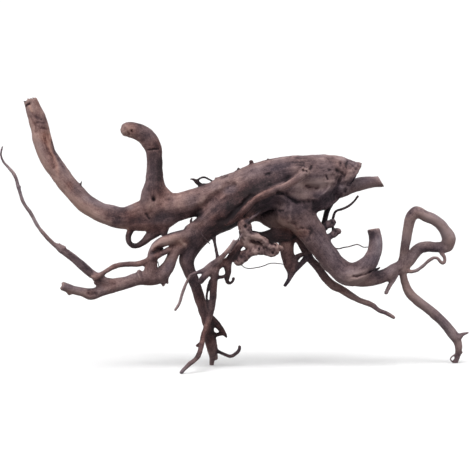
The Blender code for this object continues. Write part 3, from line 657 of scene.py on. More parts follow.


# %% The marks
# stroke, width, depth, deepest place it reaches back to, how much darker it is; a ridge's depth is negative.
# The darkening is painted shade in cracks, pits and recesses, and a scar's or stain's own colour; a negative
# one paints paler
MARKS = {
    "torn_border": ([(112.4, 212), (110.6, 206), (111, 198)], 1.6, 2.4, 20, 1),
    "torn_pit": ([(105.2, 208)], 1.7, 2, 20, 0.9),
    "torn_hollow": ([(102, 201), (106, 199), (109, 196)], 2.4, 2.6, 20, 0.8),
    "low_crevice": ([(104, 192), (101, 184), (98, 178)], 3.6, 3.2, 20, 0.7),
    "stub_crack": ([(120, 195), (115, 189), (112, 185), (109, 180)], 1.4, 2.4, 25, 1.3),
    "hollow_under_tear": ([(80, 165), (90, 170), (101, 176)], 6.5, 7.5, 25, 0.2),
    "torn_lip": ([(97, 190), (92, 181), (84, 175), (76, 171), (75.5, 163)], 1.8, -1.4, 20, -0.3),
    "crack_by_rib": ([(43, 179), (50, 177), (56, 173), (62, 170.5), (77, 169.8)], 2.1, 3.2, 8, 0.6),
    "recess_under_rib": ([(24, 163), (33, 167), (41, 171)], 6.5, 5.5, 2, 0.4),
    "rib_top_groove": ([(32, 184.5), (39.5, 187.5), (51, 192.5), (59, 197), (66, 203)], 2.2, 0.9, 0, 0.1),
    "rib_cup": ([(68.1, 201.4)], 1.1, 2, 5, 1.2),
    "rib_hole": ([(71.7, 200.8)], 1, 1.6, 5, 1.2),
    "rib_rim": ([(64.5, 201), (69, 204), (73.6, 201), (72.6, 197)], 1.1, -1, 5, -0.8),
    "rib_slit": ([(75.6, 205.8), (75.2, 202)], 1, 1.6, 5, 1),
    "strand_shadow": ([(-16, 150.5), (-8, 154), (2, 162), (10, 170), (16, 176)], 2, 2, -4, 0.9),
    "ridge_by_gap": ([(-8, 180), (-25, 164), (-31, 156), (-39, 149)], 3, -1.4, 6, -0.2),
    "strand_crease": ([(-42, 155), (-36, 162), (-27, 170), (-15, 180), (-2, 187)], 3.6, 3.6, 6, 0.2),
    "long_pit": ([(71, 185.5), (77, 184.8), (83, 184.2)], 1.6, 2.2, 5, 0.8),
    "flank_slit": ([(91, 196), (92.3, 192)], 1, 1.6, 5, 1),
    "flank_grooves": ([(56, 209.5), (69, 208.8)], 1.1, 0.4, 20, 0.5),
    "flank_groove": ([(60.5, 206.5), (70, 206)], 1.1, 0.4, 20, 0.5),
    "side_groove": ([(71, 196.5), (82, 196.5)], 1.2, 0.4, 20, 0.4),
    "side_pit": ([(93.3, 202.4), (94.5, 201.5)], 1, 1.2, 20, 0.7),
    "top_scar": ([(60, 213.6), (66.7, 213.6)], 1.3, 0.7, 30, 1),
    "top_scratch": ([(51.5, 214), (55, 215)], 0.9, 0.6, 30, 1),
    "top_stain": ([(92, 213.3), (98, 213.3)], 1.4, 0.6, 30, 0.7),
    "upper_pit": ([(31, 197), (34, 198)], 1.5, 1.3, 5, 0.9),
    "bend_pit": ([(42, 161.5), (48, 161.2)], 1.3, 2, 9, 1.2),
    "bend_dot": ([(50, 158.7)], 1.1, 1, 9, 1),
    "bend_vein": ([(56, 166), (54.5, 149)], 1.6, -1, 9, -0.7),
    "bend_wrinkle": ([(61.7, 143.3), (69, 143.9), (76.7, 142.8), (74, 135), (73, 131)], 1.2, 0.6, 5, 0.7),
    "bend_furrow": ([(62, 139.6), (70, 139)], 1.2, 0.5, 5, 0.6),
    "bend_scar": ([(65, 136), (71, 136)], 1.2, 0.5, 5, 0.5),
    "bend_crack": ([(118, 95), (131, 98), (139, 102), (145, 107)], 1.2, 2.6, 12, 0.5),
    "knot_by_hook": ([(-81, 173)], 2.1, 3.8, 10, 1.3),
    "lip_by_knot": ([(-88, 178), (-84, 172)], 2.6, -1, 10, 0),
    "hook_crease": ([(-87, 222), (-77, 223.5)], 0.7, 1.8, 15, 1.3),
    "hook_eye": ([(-103, 241)], 1.2, 2, 12, 1.2),
    "hook_spot": ([(-107, 240), (-106, 238)], 1, 1, 12, 0.7),
    "arm_elbow": ([(-181, 191)], 4, -1.2, 40, 0),
    "fork_slit": ([(-88.5, 158), (-86, 153.5)], 1.3, 1.2, 10, 0.5),
    "trunk_bump": ([(-79, 161)], 3, -1.2, 10, 0),
    "pale_scar": ([(-54, 131), (-50, 126)], 1.5, -1, 4, -1.4),
    "collar": ([(-97, 101), (-95, 93)], 1.3, -1, 0, 0),
    "collar_groove": ([(-93, 101), (-92, 92)], 1.1, 1, 0, 0.6),
    "root_hollow": ([(-146, 79), (-139, 78)], 2, 1.4, 0, 0.5),
    "ridge_pit": ([(17.5, 131), (26, 129)], 2, 2.4, 0, 0.6),
    "arch_hollow": ([(-81, 120), (-77, 122.5), (-73, 124.5)], 2.3, 3, 0, 1.2),
    "neck_pit": ([(10.5, 146)], 1.6, 2.6, 0, 0.9),
    "knot_slit": ([(7, 124), (11, 123)], 1.3, 3, 0, 0.8),
    "lobe_hole": ([(37.9, 118.7)], 1.2, 2.2, 0, 1.2),
    "lobe_pit": ([(23.3, 121), (24, 123)], 1.1, 1.8, 0, 1),
    "ridge_gap": ([(35, 129), (40, 127)], 1.5, 2.4, -15, 1),
    "arm_groove": ([(-190, 232), (-187, 221), (-183, 216), (-182.7, 211.4), (-179.7, 206.4), (-181.4, 203.7)],
        1.9, 0.7, 60, 0.3),
    "arm_side_groove": ([(-182.7, 229.4), (-181, 223.4), (-179.3, 218.3), (-175.8, 208.8), (-171.5, 204)],
        1.5, 0.8, 60, 0.5),
    "wrinkle_high": ([(-203.3, 259), (-197.3, 253.4)], 1.2, 0.6, 60, 0.9),
    "wrinkle_side": ([(-205, 256), (-199.8, 246), (-199.4, 240)], 1.2, 0.5, 60, 0.8),
    "wrinkle_mid": ([(-199.4, 249.6), (-189.6, 250)], 1.1, 0.5, 60, 0.8),
    "wrinkle_short": ([(-196.4, 255.2), (-190.4, 251.8)], 1.1, 0.5, 60, 0.7),
    "wrinkle_low": ([(-194.5, 243.5), (-187, 243)], 1.2, 0.4, 60, 0.3),
    "tip_hollow": ([(-208, 267), (-205.5, 268)], 1.4, 1.6, 60, 1.3),
}

# %% Press marks into the skin
FACING_GAIN = 2.5                       # how soon a surface that turns to the eye takes the whole mark
RAGGED, RAGGED_CELL = 0.8, 3.5          # how uneven a mark is, and how large its uneven places are, mm
EVEN_WIDTH = 1.6                        # mm: wider marks are more even

spots, normals = spots_of(root.data), read(root.data, "normal")
seen, depth = as_seen(spots)
wavy, uneven = unsteady(seen, spots), RAGGED * speckle(spots, RAGGED_CELL, 40)
facing = np.clip((normals @ -np.array(sight)) * FACING_GAIN, 0, 1)
for stroke, width, deep, back, _ in MARKS.values():
    push = on_stroke(wavy, stroke, width) * facing * (depth < back)
    push *= 1 + uneven * min(1, (EVEN_WIDTH / width) ** 3)
    spots += np.array(sight) * (push * deep)[:, None]
print("marks pressed:", len(MARKS))

# %% [markdown]
# ## Two slanted breaks
#
# The trunk's right end and the stub under it broke off at a slant. A Boolean cut would leave a flat,
# sharp face, so every point beyond the slanted plane is pushed back to it instead, and the fibres can
# be raised from there.

# %% Break two ends off at a slant
# a place on the break, the way it faces as seen, how far round it the break reaches, the broken branches
BREAKS = (
    ((126, 207), (0.91, -0.42), 26, ("upper_strand", "torn_end")),
    ((145.5, 192), (0.86, 0.5), 12, ("right_stub",)),
)
upright = Vector((0, math.sin(SIGHT_TILT), math.cos(SIGHT_TILT)))
for start, faces, reach, broken in BREAKS:
    past = (seen - start) @ np.array(faces)
    near = (np.linalg.norm(seen - start, axis=1) < reach) * belonging(owners, broken)
    way = np.array(Vector((1, 0, 0)) * faces[0] + upright * faces[1])
    cut = np.maximum(past, 0) * near
    spots -= way * cut[:, None]
    print("points pushed back at", broken[0], int((cut > 0).sum()))

# %% [markdown]
# ## The torn face
#
# Where the trunk's right end tore off, its fibres stand in ragged rows that run down and back to the
# left. The same random values, combed that way and several times stronger, raise them.

# %% Raise torn fibres
TORN_FACE, TORN_WIDTH = [(119, 204), (110, 196), (103, 184)], 9
TORN_WAY = np.array((-0.45, 0.1, -0.88))
ROW_CELL, ROW_REACH, ROW_HEIGHT = 2.3, 12, 0.7       # mm
SHRED_CELL, SHRED_HEIGHT = 1.9, 0.45                 # mm

torn = on_stroke(as_seen(spots)[0], TORN_FACE, TORN_WIDTH)
ragged = ROW_HEIGHT * combed(spots, TORN_WAY, ROW_CELL, ROW_REACH) + SHRED_HEIGHT * speckle(spots, SHRED_CELL)
spots += normals * (torn * ragged)[:, None]
print("torn points:", int((torn > 0.5).sum()))

# %% [markdown]
# ## Knots and pits all over
#
# Where a fine root once left the wood there is a pit or a low knot. A few hundred are pressed or
# raised at random places of the stout wood, on every side.

# %% Scatter pits and knots
PITS = 260
PIT_WIDTHS, PIT_DEPTHS = (0.9, 2.6), (-0.5, 1.3)     # mm; a negative depth is a knot
PITTED_GIRTH = 4.5                                   # mm: thinner wood has none
PIT_REACH = 3                                        # in widths
PIT_STRETCH = 0.65                                   # 0 for a round pit, nearly 1 for a long slit
DEEP_WIDTH = 1.6                                     # mm: a narrower pit is shallower

stout = np.flatnonzero(girths > PITTED_GIRTH)
for spot in spots[rng.choice(stout, PITS, replace=False)]:
    width, deep = rng.uniform(*PIT_WIDTHS), rng.uniform(*PIT_DEPTHS)
    near = np.flatnonzero((np.abs(spots - spot) < PIT_REACH * width).all(1))
    apart = spots[near] - spot
    along = (apart * runs[near]).sum(1)
    off = np.sqrt(np.maximum((apart ** 2).sum(1) - PIT_STRETCH * along ** 2, 0))
    push = np.exp(-(off / width) ** 2) * deep * min(width, DEEP_WIDTH) / DEEP_WIDTH
    spots[near] -= normals[near] * push[:, None]
print("pits and knots:", PITS, "on", len(stout), "stout points")

# %% [markdown]
# ## Broken and cut ends
#
# A root that tore off ends in fibres of uneven length, and one that was sawn off ends flat. The points
# of a torn end are pulled along its branch by random amounts that depend only on where they lie across
# it, so they stand up as splinters.

# %% Tear the ends
SPLINTERS = ((1.5, 1), (3.45, 0.5))     # mm across, and share of an end's longest
FRAYED, PULLED, SPLINTERED_GIRTH = 3, 6, 1.25        # mm before the end, mm beyond it, radii off its middle


def at_end(spots, branch, which):
    """How far places lie beyond an end and off its middle, its direction, and its radius."""
    line, ways, radii = walks[owner_names.index(branch)]
    way = ways[which] if which else -ways[which]
    apart = spots - line[which]
    beyond = apart @ way
    return beyond, np.linalg.norm(apart - beyond[:, None] * way, axis=1), way, radii[which]


for branch, which, longest in TORN_ENDS:
    beyond, off, way, radius = at_end(spots, branch, which)
    pull = np.clip((beyond + FRAYED) / FRAYED, 0, 1) * (off < radius * SPLINTERED_GIRTH) * (beyond < PULLED)
    across = spots - beyond[:, None] * way
    pull = pull * sum(share * speckle(across, width) for width, share in SPLINTERS) * longest
    spots += way * pull[:, None]
set_spots(root.data, spots)
finish_with(root, "SMOOTH", factor=0.35, iterations=1)
print("torn ends:", len(TORN_ENDS))

# %% [markdown]
# ## Fewer faces
#
# The skin is even, so it spends as many faces on a flat stretch as on a knot. Decimate takes faces
# away where the surface is flat, and keeps the piece under the number that its readers can take.

# %% Thin out and stand it on its feet
MOST_TRIANGLES = 196000

root.data.calc_loop_triangles()
triangles = len(root.data.loop_triangles)
finish_with(root, "DECIMATE", ratio=min(1, MOST_TRIANGLES / triangles))
root.data.validate()                    # thinning can leave a tiny face twice, and this drops it
print("triangles:", triangles, "thinned to", len(root.data.polygons))

bpy.ops.object.mode_set(mode="EDIT")
bpy.ops.mesh.select_all(action="SELECT")
bpy.ops.mesh.bisect(plane_co=(0, 0, 0), plane_no=(0, 0, -1), use_fill=True, clear_outer=True)
bpy.ops.object.mode_set(mode="OBJECT")
bpy.ops.object.shade_smooth()

# %% [markdown]
# ## What the surface tells the material
#
# The material needs to know more than where it is: which way the grain runs, how deep a place lies in
# a hollow, and how far it stands out on a crest. The material paints shade from these: darker in hollows,
# paler on crests. Each is kept at the points, as an attribute.

# %% Attributes
FINE_ROUNDS, BROAD_ROUNDS = 3, 40
FINE_SHARE, BROAD_SHARE, MOST_HOLLOW = 1.5, 0.35, 1.5


def note(mesh, name, values, kind="FLOAT"):
    """Keep values at the points of a mesh under a name."""
    attribute = mesh.attributes.new(name, kind, "POINT")
    attribute.data.foreach_set("vector" if kind == "FLOAT_VECTOR" else "value",
                               np.ascontiguousarray(values, np.float32).ravel())


def hollows(mesh, rounds):
    """How far each point lies below its softened surroundings, in mm, hollows positive."""
    ask, spots = neighbours(mesh), spots_of(mesh)
    soft = spots.astype(np.float64)
    for _ in range(rounds):
        soft = (soft + ask(soft)) / 2
    return ((soft - spots) * read(mesh, "normal")).sum(1)


spots, normals, owners, runs, girths = survey(root.data)
fine, broad = hollows(root.data, FINE_ROUNDS), hollows(root.data, BROAD_ROUNDS)
# the material turns this into painted shade: darker in hollows, paler on crests
hollow_shade = (fine * FINE_SHARE + broad * BROAD_SHARE) * (1 + belonging(owners, GNARLY))
note(root.data, "grain", runs, "FLOAT_VECTOR")
note(root.data, "hollow_shade", np.clip(hollow_shade, -MOST_HOLLOW, MOST_HOLLOW))
print("fine relief, mm:", fine.std().round(3), "broad:", broad.std().round(3))

# %% [markdown]
# ## Stains, fading and painted light
#
# The wood isn't one colour. The arm and the outer roots are bleached, the middle, which lies in shade, is
# painted dark, and where bark came off late the wood is reddish. Some branches have a tint of their own.
# Soft patches of a given size and strokes of a given width say how much paler or darker, and how much
# redder or greyer, the wood is there, right through it, so both sides agree. Some are stains; others are
# painted shade under overhangs and on sides turned from the light, and painted highlights on edges that
# face it. The marks darken their own strokes, partly with painted shade.

# %% Tints of whole branches
# paler, redder
TINTS = {
    "front_rib": (0.2, 0.35), "light_strand": (0.3, -0.3), "dark_strand": (-1.5, 0.2), "dark_root": (-1.5, 0),
    "drop_twig": (-2.2, -0.2), "long_diagonal": (-0.35, 0.1), "back_link": (-0.2, 0),
    "thin_drop": (-2.2, -0.3), "curved_twig": (-1.8, -0.2), "web_strand": (-1.2, -0.4),
    "upper_knob": (-1.6, -0.3), "lower_knob": (-1.3, -0.3), "hanging_hook": (-1.2, 0.2),
    "loop_twig": (-0.4, 0.2), "knob_twig": (-0.7, -0.7), "side_toe": (-1.7, 0.4), "toe_link": (-1.7, 0),
    "foot_curl": (-1.7, -0.1), "side_strand": (-1.4, 0), "arm_thorn": (-2.2, 0), "strand_fibre": (-0.2, -0.5),
    "top_rootlet": (-2, 0), "top_arc": (-2.2, 0), "top_twig": (-0.9, -0.2), "top_nub": (-2.2, 0),
    "small_nub": (-2.2, 0), "hollow_wall": (-0.5, 0), "ring_root": (-1, 0.1), "under_stub": (-0.5, 0),
    "long_feeler": (0.1, -0.3), "hook_link": (-1.9, 0), "feeler_thorn": (-0.6, -0.4),
    "bend_spur": (-0.3, -0.5), "leg_thorn": (-0.5, -0.2), "root_nub": (-0.6, 0), "nub_by_neck": (-1.6, 0),
    "nub_on_back": (-1.6, 0), "nub_by_scar": (-1.4, 0), "slim_root": (-0.4, 0.1), "front_leg": (-0.4, 0)
}

# %% Patches of colour
# across, rise, half width, half height, paler, then redder and the turn in degrees where they aren't 0
PATCHES_OF_STAIN_AND_PAINTED_LIGHT = {
    "arm": [(-192, 222, 20, 52, 0.35, 0.05, 25), (-179, 210, 5, 14, -0.3, -0.2, 25),
        (-165, 196, 5, 14, 0.5, -0.3, 38), (-202, 266, 8, 7, -0.25, -0.1), (-193, 250, 8, 9, -0.6, -0.1, -20),
        (-190, 234, 8, 6, -0.1, 0.7), (-189, 208, 7, 9, -0.2, 0.3), (-197, 228, 5, 6, 0.2, -0.4),
        (-155, 170, 30, 14, 0.4, 0.15, -35), (-165, 186, 4, 5, -0.3, 0.5), (-156, 183, 8, 6, -0.8, -0.3, -40),
        (-108, 155, 25, 9, -1.1, -0.1), (-191, 240, 8, 8, 0.2, 0.4), (-197, 265, 5, 8, 0, 0.4),
        (-172, 198, 5, 10, -0.3, 0, 35), (-190, 222, 4, 8, -0.4, 0, 15), (-108, 155, 12, 8, 0, 0.3),
        (-126, 151, 6, 3, -0.6), (-140, 154, 6, 4, 0.5, 0, -30), (-216, 185, 4, 8, -0.5),
        (-183, 211, 5, 8, -0.4, 0, 25), (-196, 224, 4, 14, 0.4, 0, 10), (-163, 192, 8, 10, -0.4, 0, 35),
        (-152, 178, 7, 5, -0.4, 0, -40), (-196, 246, 5, 5, -0.4)],
    "hook_and_fork": [(-80, 208, 9, 26, -1.5, -0.2), (-89, 205, 4, 16, 0.7, -0.3),
        (-90, 243, 20, 10, -1.1, -0.1, -25), (-109, 242, 8, 9, 0.15, 0.2), (-88, 162, 14, 10, 0.3, 0.2),
        (-70, 166, 8, 14, -0.2, -0.2), (-92, 180, 5, 8, 0, -0.4), (-90, 144, 22, 5, 0.2, 0.4),
        (-73, 149, 11, 9, -0.6, -0.3), (-67, 173, 7, 6, -0.3, -0.2), (-42, 172, 7, 6, -0.4, -0.2, 30),
        # the first two patches of this line are painted shade on the trunk's underside
        (-48, 160, 24, 7, -0.9, 0, 8), (-38, 153, 8, 4, -1.2, -0.3, 30), (-55, 168, 7, 8, 0.6, 0.1, 10),
        (-33, 168, 6, 6, 0.9, 0.2), (-20, 168, 5, 8, -0.4, -0.2, -30), (-5, 182, 7, 4, -0.7, -0.8, 20),
        (-80, 228, 7, 7, 0.2, 0.5), (-103, 243, 6, 6, 0, 0.4), (-82, 180, 10, 5, -0.8, 0.2),
        (-72, 171, 7, 8, 0.1, 0.6), (-84, 146, 16, 8, 0, 0.3), (-72, 150, 6, 6, -0.5, 0.1),
        (-47, 172, 8, 6, -0.6, -0.2), (-36, 180, 8, 5, -0.4), (-30, 168, 5, 5, 0.6),
        (-20, 160, 5, 4, -0.5, -0.3), (-20, 186, 7, 5, 0, -0.5), (-98, 150, 12, 5, -0.5),
        (-64, 170, 5, 8, -0.4), (-52, 171, 7, 5, 0.6, 0, 30), (-108, 246, 7, 4, -0.5, 0, 20),
        (-78, 216, 4, 9, -0.5), (-80, 234, 5, 8, 0.6, 0, 30), (-103, 246, 8, 4, 0.5), (-34, 187, 6, 4, -0.5)],
    # the patches at (1, 169) and (-8, 151) are painted shade on the lower side of the front strand
    "trunk": [(2, 188, 22, 7, 0.8, 0.2, 25), (1, 169, 26, 10, -1.7, 0.3, 42), (-8, 151, 24, 9, -1.7, 0, 30),
        (-20, 152, 5, 7, 0.8, 0.1), (-24, 142, 16, 8, -0.3, 0.2, 35), (-40, 146, 8, 4, 1.1, -0.1, 35),
        (27, 186, 15, 7, -1.3, 0, 25), (16, 198, 10, 8, -0.4, -0.4, 25), (50, 197, 8, 6, -0.4, -0.4, 20),
        (45, 205, 12, 4, -0.7, -0.5, 20), (72, 210, 12, 8, -1.2, -0.1), (92, 205, 9, 6, -0.8, -0.1),
        (50, 186, 14, 7, -0.9, -0.2, 25), (116, 209, 6, 5, -0.9, -0.2), (107, 203, 6, 8, 0.2, 0.4),
        (80, 187, 18, 6, 1.5, 0.5), (82, 177, 6, 4, -0.5), (90, 182, 10, 10, 0, -0.6), (90, 214, 16, 4, 0.5),
        (115, 198, 6, 5, 0.5), (-36, 148, 6, 5, 0, 0.4), (10, 166, 6, 10, 0, -0.4, -30),
        (63, 195, 5, 5, -0.5, -0.1), (80, 192, 8, 6, 0, -0.5), (82, 184, 5, 5, 0.4),
        (10, 204, 7, 3, 0.5, 0, 25)],
    # the patch at (89, 170) is painted shade in the hollow under the tear
    "torn_end_and_stub": [(105, 195, 5, 18, -0.5, -0.4, -12), (89, 170, 13, 9, -1.3, -0.3, 10),
        (122, 190, 20, 5, -0.4, -0.6, 15), (135, 184, 14, 3, 1, -0.2, 12), (108, 181, 8, 4, -0.1, -0.4),
        (120, 183, 6, 3, -0.5), (97, 149, 6, 5, -1)],
    # the dark patches here are mostly painted shade, under the rib and under the bend's base
    "under_trunk": [(27, 165, 14, 8, -1, -0.3, 25), (26, 156, 16, 8, 1, 0.7), (45, 168, 6, 6, 0.9, -0.1),
        (50, 146, 13, 5, 1.4, 0.3, -25), (50, 155, 12, 5, -0.7, -0.1, -20), (60, 164, 11, 8, -0.9, -0.6),
        (70, 174, 10, 5, 0.9, 0.4), (44, 136, 16, 5, -0.8, 0.1, -10), (52, 130, 8, 5, 0.3),
        (70, 118, 5, 12, 0, -0.1, 25), (34, 158, 10, 6, 0.1, -0.6, 20), (53, 173, 10, 4, -0.7, -0.5),
        (45, 146, 8, 4, 0.6), (62, 116, 3, 4, -1.2), (72, 114, 3, 5, 0.9), (50, 130, 6, 4, 0.5),
        (32, 160, 14, 8, -0.5, 0, 10)],
    "bend_loop_and_right_leg": [(94, 122, 8, 32, -0.8, -0.4, 28), (76, 138, 9, 20, -0.2, -0.2, 30),
        (68, 139, 7, 5, 0.1, 0.5), (120, 94, 22, 8, 1.5, 0.1), (130, 110, 14, 6, -1, -0.4, 10),
        (136, 140, 5, 9, -1.8, -0.2), (142, 124, 6, 16, 0.3, -0.7), (142, 98, 12, 8, -1.7, -0.2),
        (159, 104, 9, 6, -0.8, -0.6, 30), (200, 142, 26, 24, 0.8, -0.3), (168, 117, 7, 9, -0.3, -0.3),
        # the patch at (203, 148) is painted light on the shaded underside of the loop's upper limb
        (203, 148, 16, 3, 1.1, 0.1, -38), (215, 138, 6, 12, -0.8, -0.1, 20), (178, 162, 7, 6, -0.9),
        (186, 124, 22, 6, -0.8, -0.2), (170, 92, 16, 30, 0.9, 0.1), (190, 68, 12, 10, 0.1, -0.4, -45),
        (216, 42, 12, 10, 0.1, -0.4, -45), (222, 12, 6, 6, -0.5, -0.5), (208, 52, 8, 10, -0.2, -0.3, -45),
        (124, 70, 16, 4, 0.8, 0, -30), (146, 63, 10, 5, -0.5, -0.4, -30), (78, 142, 7, 6, 0, 0.4),
        (118, 101, 8, 4, 0.1, -0.5), (145, 128, 3, 14, -0.2, -0.4), (153, 100, 5, 4, 0.6, 0.1),
        (170, 122, 5, 5, 0.5, 0.5), (187, 104, 12, 4, 0.2, -0.8, 30), (215, 132, 5, 5, 0.4, 0.4),
        (99, 95, 7, 5, -0.6, 0, -45), (138, 91, 8, 4, -0.4), (165, 106, 6, 5, -0.4), (172, 156, 4, 7, 0.4),
        (215, 121, 5, 3, 0.7), (222, 32, 6, 8, 0.5), (190, 62, 16, 6, 0.3, 0, -38)],
    # the patch at (-58, 142) is a painted shadow along the join of the trunk and the root below it
    "left_roots": [(-72, 130, 16, 8, -0.2, -0.1, 20), (-58, 142, 10, 3, -0.9, -0.4, 12),
        (-77, 122, 5, 4, -0.5, 0.5), (-52, 129, 6, 5, 1, 0.5), (-82, 110, 9, 8, -1, 0.1),
        (-76, 97, 8, 6, -0.7, 0.2, -30), (-66, 112, 4, 10, -0.1, 0, -40), (-104, 131, 9, 11, -1.3),
        (-98, 94, 28, 10, -0.2, 0.2, 5), (-128, 84, 14, 6, 0.1, -0.5, 8), (-152, 108, 14, 5, -0.9, 0.1, -45),
        (-158, 78, 14, 3, 0.9), (-158, 85, 16, 4, -0.3, -0.6), (-143, 80, 6, 3, -0.5, 0.3),
        (-62, 130, 8, 4, 0.8, 0.3), (-66, 107, 5, 7, -0.9, -0.5), (-71, 119, 6, 4, -0.6, -0.4),
        (-84, 120, 3, 8, 0, -0.4), (-105, 98, 12, 4, -0.2, -0.7, 10), (-126, 86, 9, 6, 0.1, 0.7),
        (-143, 80, 5, 5, -0.5), (-166, 80, 6, 4, 0.6, 0.2), (-66, 114, 4, 5, 0.7), (-82, 97, 7, 5, 0.6),
        (-127, 91, 5, 5, -0.4)],
    "legs_and_knobs": [(-42, 114, 12, 24, -1.1, -0.1), (-32, 84, 10, 12, -1.6, -0.2),
        (-28, 66, 10, 10, -0.8, -0.2), (-30, 40, 12, 18, -0.9, 0.4), (-18, 38, 5, 6, -1.4, 0.4),
        (-38, 20, 8, 14, -1.1, 0, -30), (-54, 0, 8, 6, 0, -0.8), (-22, 18, 6, 14, 0.3, -0.3),
        (-18, 109, 12, 6, 0.6, 0.3, 40), (-10, 96, 8, 8, -1.6, 0.1), (13, 132, 10, 8, 0.9, 0, -20),
        (15, 145, 7, 6, -1.2), (38, 133, 7, 6, -1.3, 0.1), (6, 117, 14, 5, -1.2, 0, 10), (2, 109, 8, 3, 0.3),
        (52, 112, 8, 18, -1, 0.3), (51, 91, 6, 8, -1.2, -0.9), (-32, 76, 8, 10, 0.3, 0.5),
        (-22, 88, 4, 6, 0.5), (-29, 50, 7, 10, 0.5, 0.1), (-24, 24, 6, 8, 0.1, 0.4), (-40, 12, 6, 5, 0.4),
        (20, 140, 5, 3, -1, -0.3), (24, 130, 6, 4, 0.5), (6, 112, 7, 4, -0.8), (-9, 106, 6, 4, 0.6),
        (-2, 120, 5, 6, 0.5), (11, 134, 6, 6, 0.4), (-31, 84, 3, 6, -1, 0, -20),
        (-39, 91, 4, 6, -0.8, 0, -20), (-48, 88, 4, 6, 0.3), (-17, 40, 5, 4, -0.8), (-22, 109, 6, 5, -0.6),
        (-31, 40, 4, 12, -0.5), (-27, 68, 4, 5, 0.6), (-30, 57, 5, 6, -0.4), (49, 87, 5, 4, -1)],
    "all_over": [(-110, 190, 110, 80, 0, 0.12), (10, 110, 110, 95, -0.15)],
}

# %% Strokes of colour
# stroke, width, paler, then redder where it isn't 0
STROKES_OF_STAIN_AND_PAINTED_LIGHT = {
    "arm": [
        ([(-186.6, 231), (-184.4, 222), (-181.4, 215), (-179, 207), (-177.5, 198.5)], 1.9, 0.35, 0.7),
        ([(-203, 250), (-200, 230), (-195, 212), (-187, 197), (-172, 182)], 4, 0.7, 0.2),
        ([(-168, 174), (-152, 158), (-138, 152), (-128, 149)], 5, 1.9, 0.4),
        ([(-187, 250), (-184, 235)], 2.2, 0.8),
        ([(-150, 174), (-130, 166), (-105, 165)], 3.5, 0, -0.6),
        ([(-205, 266), (-203, 261)], 1.5, 0.7, 0.9),
        ([(-116, 146), (-108, 143)], 2.5, 1.2, 0.3),
        ([(-205, 255), (-200, 228), (-193, 210)], 2.2, 0.4),
        ([(-191, 236), (-188, 224), (-185, 214), (-182, 205)], 2.4, -0.6, 0.3),
        ([(-184, 232), (-181, 222), (-176, 212), (-170, 203)], 1.6, -0.7, -0.3),
    ],
    "hook_and_fork": [
        # painted shade down the right side of the hook's stem
        ([(-75, 182), (-74.8, 212), (-77.5, 228)], 3.5, -1, 0.1),
        # painted light on the underside of the hook's curl
        ([(-115, 237), (-103, 236), (-93, 229)], 2.5, 1, 0.1),
    ],
    "trunk": [
        # a painted highlight along the rib's upper edge
        ([(8, 163.5), (12, 169), (20, 175), (30, 181), (40, 184.8), (50, 189), (58, 194.5), (64, 200)],
         1.2, 1, 0.2),
        # a painted highlight along the trunk's top edge
        ([(40, 213), (60, 215.5), (75, 216.5), (90, 216.8), (106, 213.5), (121, 208)], 2, 0.6, -0.3),
        ([(83, 192.7), (88, 192.5)], 1.6, 0.7, 0.2),
        ([(1, 201.8), (6, 204.2)], 0.9, -1.5),
        ([(-14, 194), (-8, 196)], 0.9, -1.2),
        # painted shade between the strand and the rib
        ([(-18, 150), (-8, 153), (2, 161), (10, 169)], 3, -0.5, -0.1),
        ([(-18, 140), (-8, 144), (3, 148)], 2.4, -0.8),
    ],
    "bend_loop_and_right_leg": [
        # a painted highlight on the loop's outer right edge
        ([(211.5, 149), (219, 134)], 1.8, 0.5, -0.3),
        # painted shade on the underside of the loop's lower limb
        ([(188, 122), (206, 122.5)], 3, -0.7, -0.2),
        # painted light on the shaded underside of the loop's upper limb
        ([(184, 153), (196, 150), (205, 141), (207.5, 134)], 2.2, 0.9),
        # painted shade on the top of the loop's upper limb, against the light from above
        ([(172, 156), (180, 164), (195, 159.5), (211, 150)], 2.2, -0.9, -0.3),
        ([(180, 68), (205, 48)], 1.8, 0.5),
    ],
    "left_roots": [
        ([(-233, 222), (-226, 206), (-216, 188), (-208, 168), (-196, 148)], 4, 0, -0.5),
        ([(-233, 208), (-234, 226)], 4, -1.6),
        # a painted shadow line along the join of the trunk and the root below it
        ([(-82, 129), (-75, 136), (-62, 140), (-50, 145)], 2, -0.9, -0.3),
        ([(-170, 123), (-155, 112), (-143, 101)], 2, -1),
        ([(-162, 109), (-148, 98)], 1.8, 0.5),
        ([(-82, 122), (-79, 129), (-70, 134), (-60, 136)], 2.2, 0.5, 0.2),
    ],
    "legs_and_knobs": [
        ([(-22, 110), (-12, 118)], 2.2, -1.2),
        ([(-24, 64), (-27, 52), (-30, 42), (-33, 30)], 1.9, 0.6, 0.1),
        ([(-22, 48), (-24, 38), (-26, 30)], 2.6, -0.5),
        ([(-47, 93), (-43, 97), (-38, 99.5)], 1.5, 0.9),
        ([(14, 137.5), (23, 136.8), (30, 133), (37.5, 126.5), (45, 124.7)], 1.8, 0.3),
    ],
}

# %% Lay the colours on
MARK_SHADE_AND_STAIN_RAGGED = 0.7                      # how uneven the darkening of a mark is
MARK_SHADE, MARK_SPREAD = 0.6, 1.2      # how dark a mark is, and how wide its shade is in widths
TINT_ROUNDS = 3
PALE_CLOUDS = ((21.0, 0, 0.175), (9.0, 50, 0.175))   # cell in mm, elsewhere, strength
RED_CLOUD = (16.0, 90, 0.35)
PALER_LIMITS, REDDER_LIMITS = (-2.2, 1.5), (-1, 1)


def patch(seen, across, rise, half_width, half_height, paler, redder=0, turn=0):
    """How much a soft oval patch changes the wood at each seen place."""
    angle = math.radians(turn)
    x, y = (seen - (across, rise)).T
    u = (x * math.cos(angle) + y * math.sin(angle)) / half_width
    v = (y * math.cos(angle) - x * math.sin(angle)) / half_height
    return np.outer(1 / (1 + (u * u + v * v) ** 2), (paler, redder))


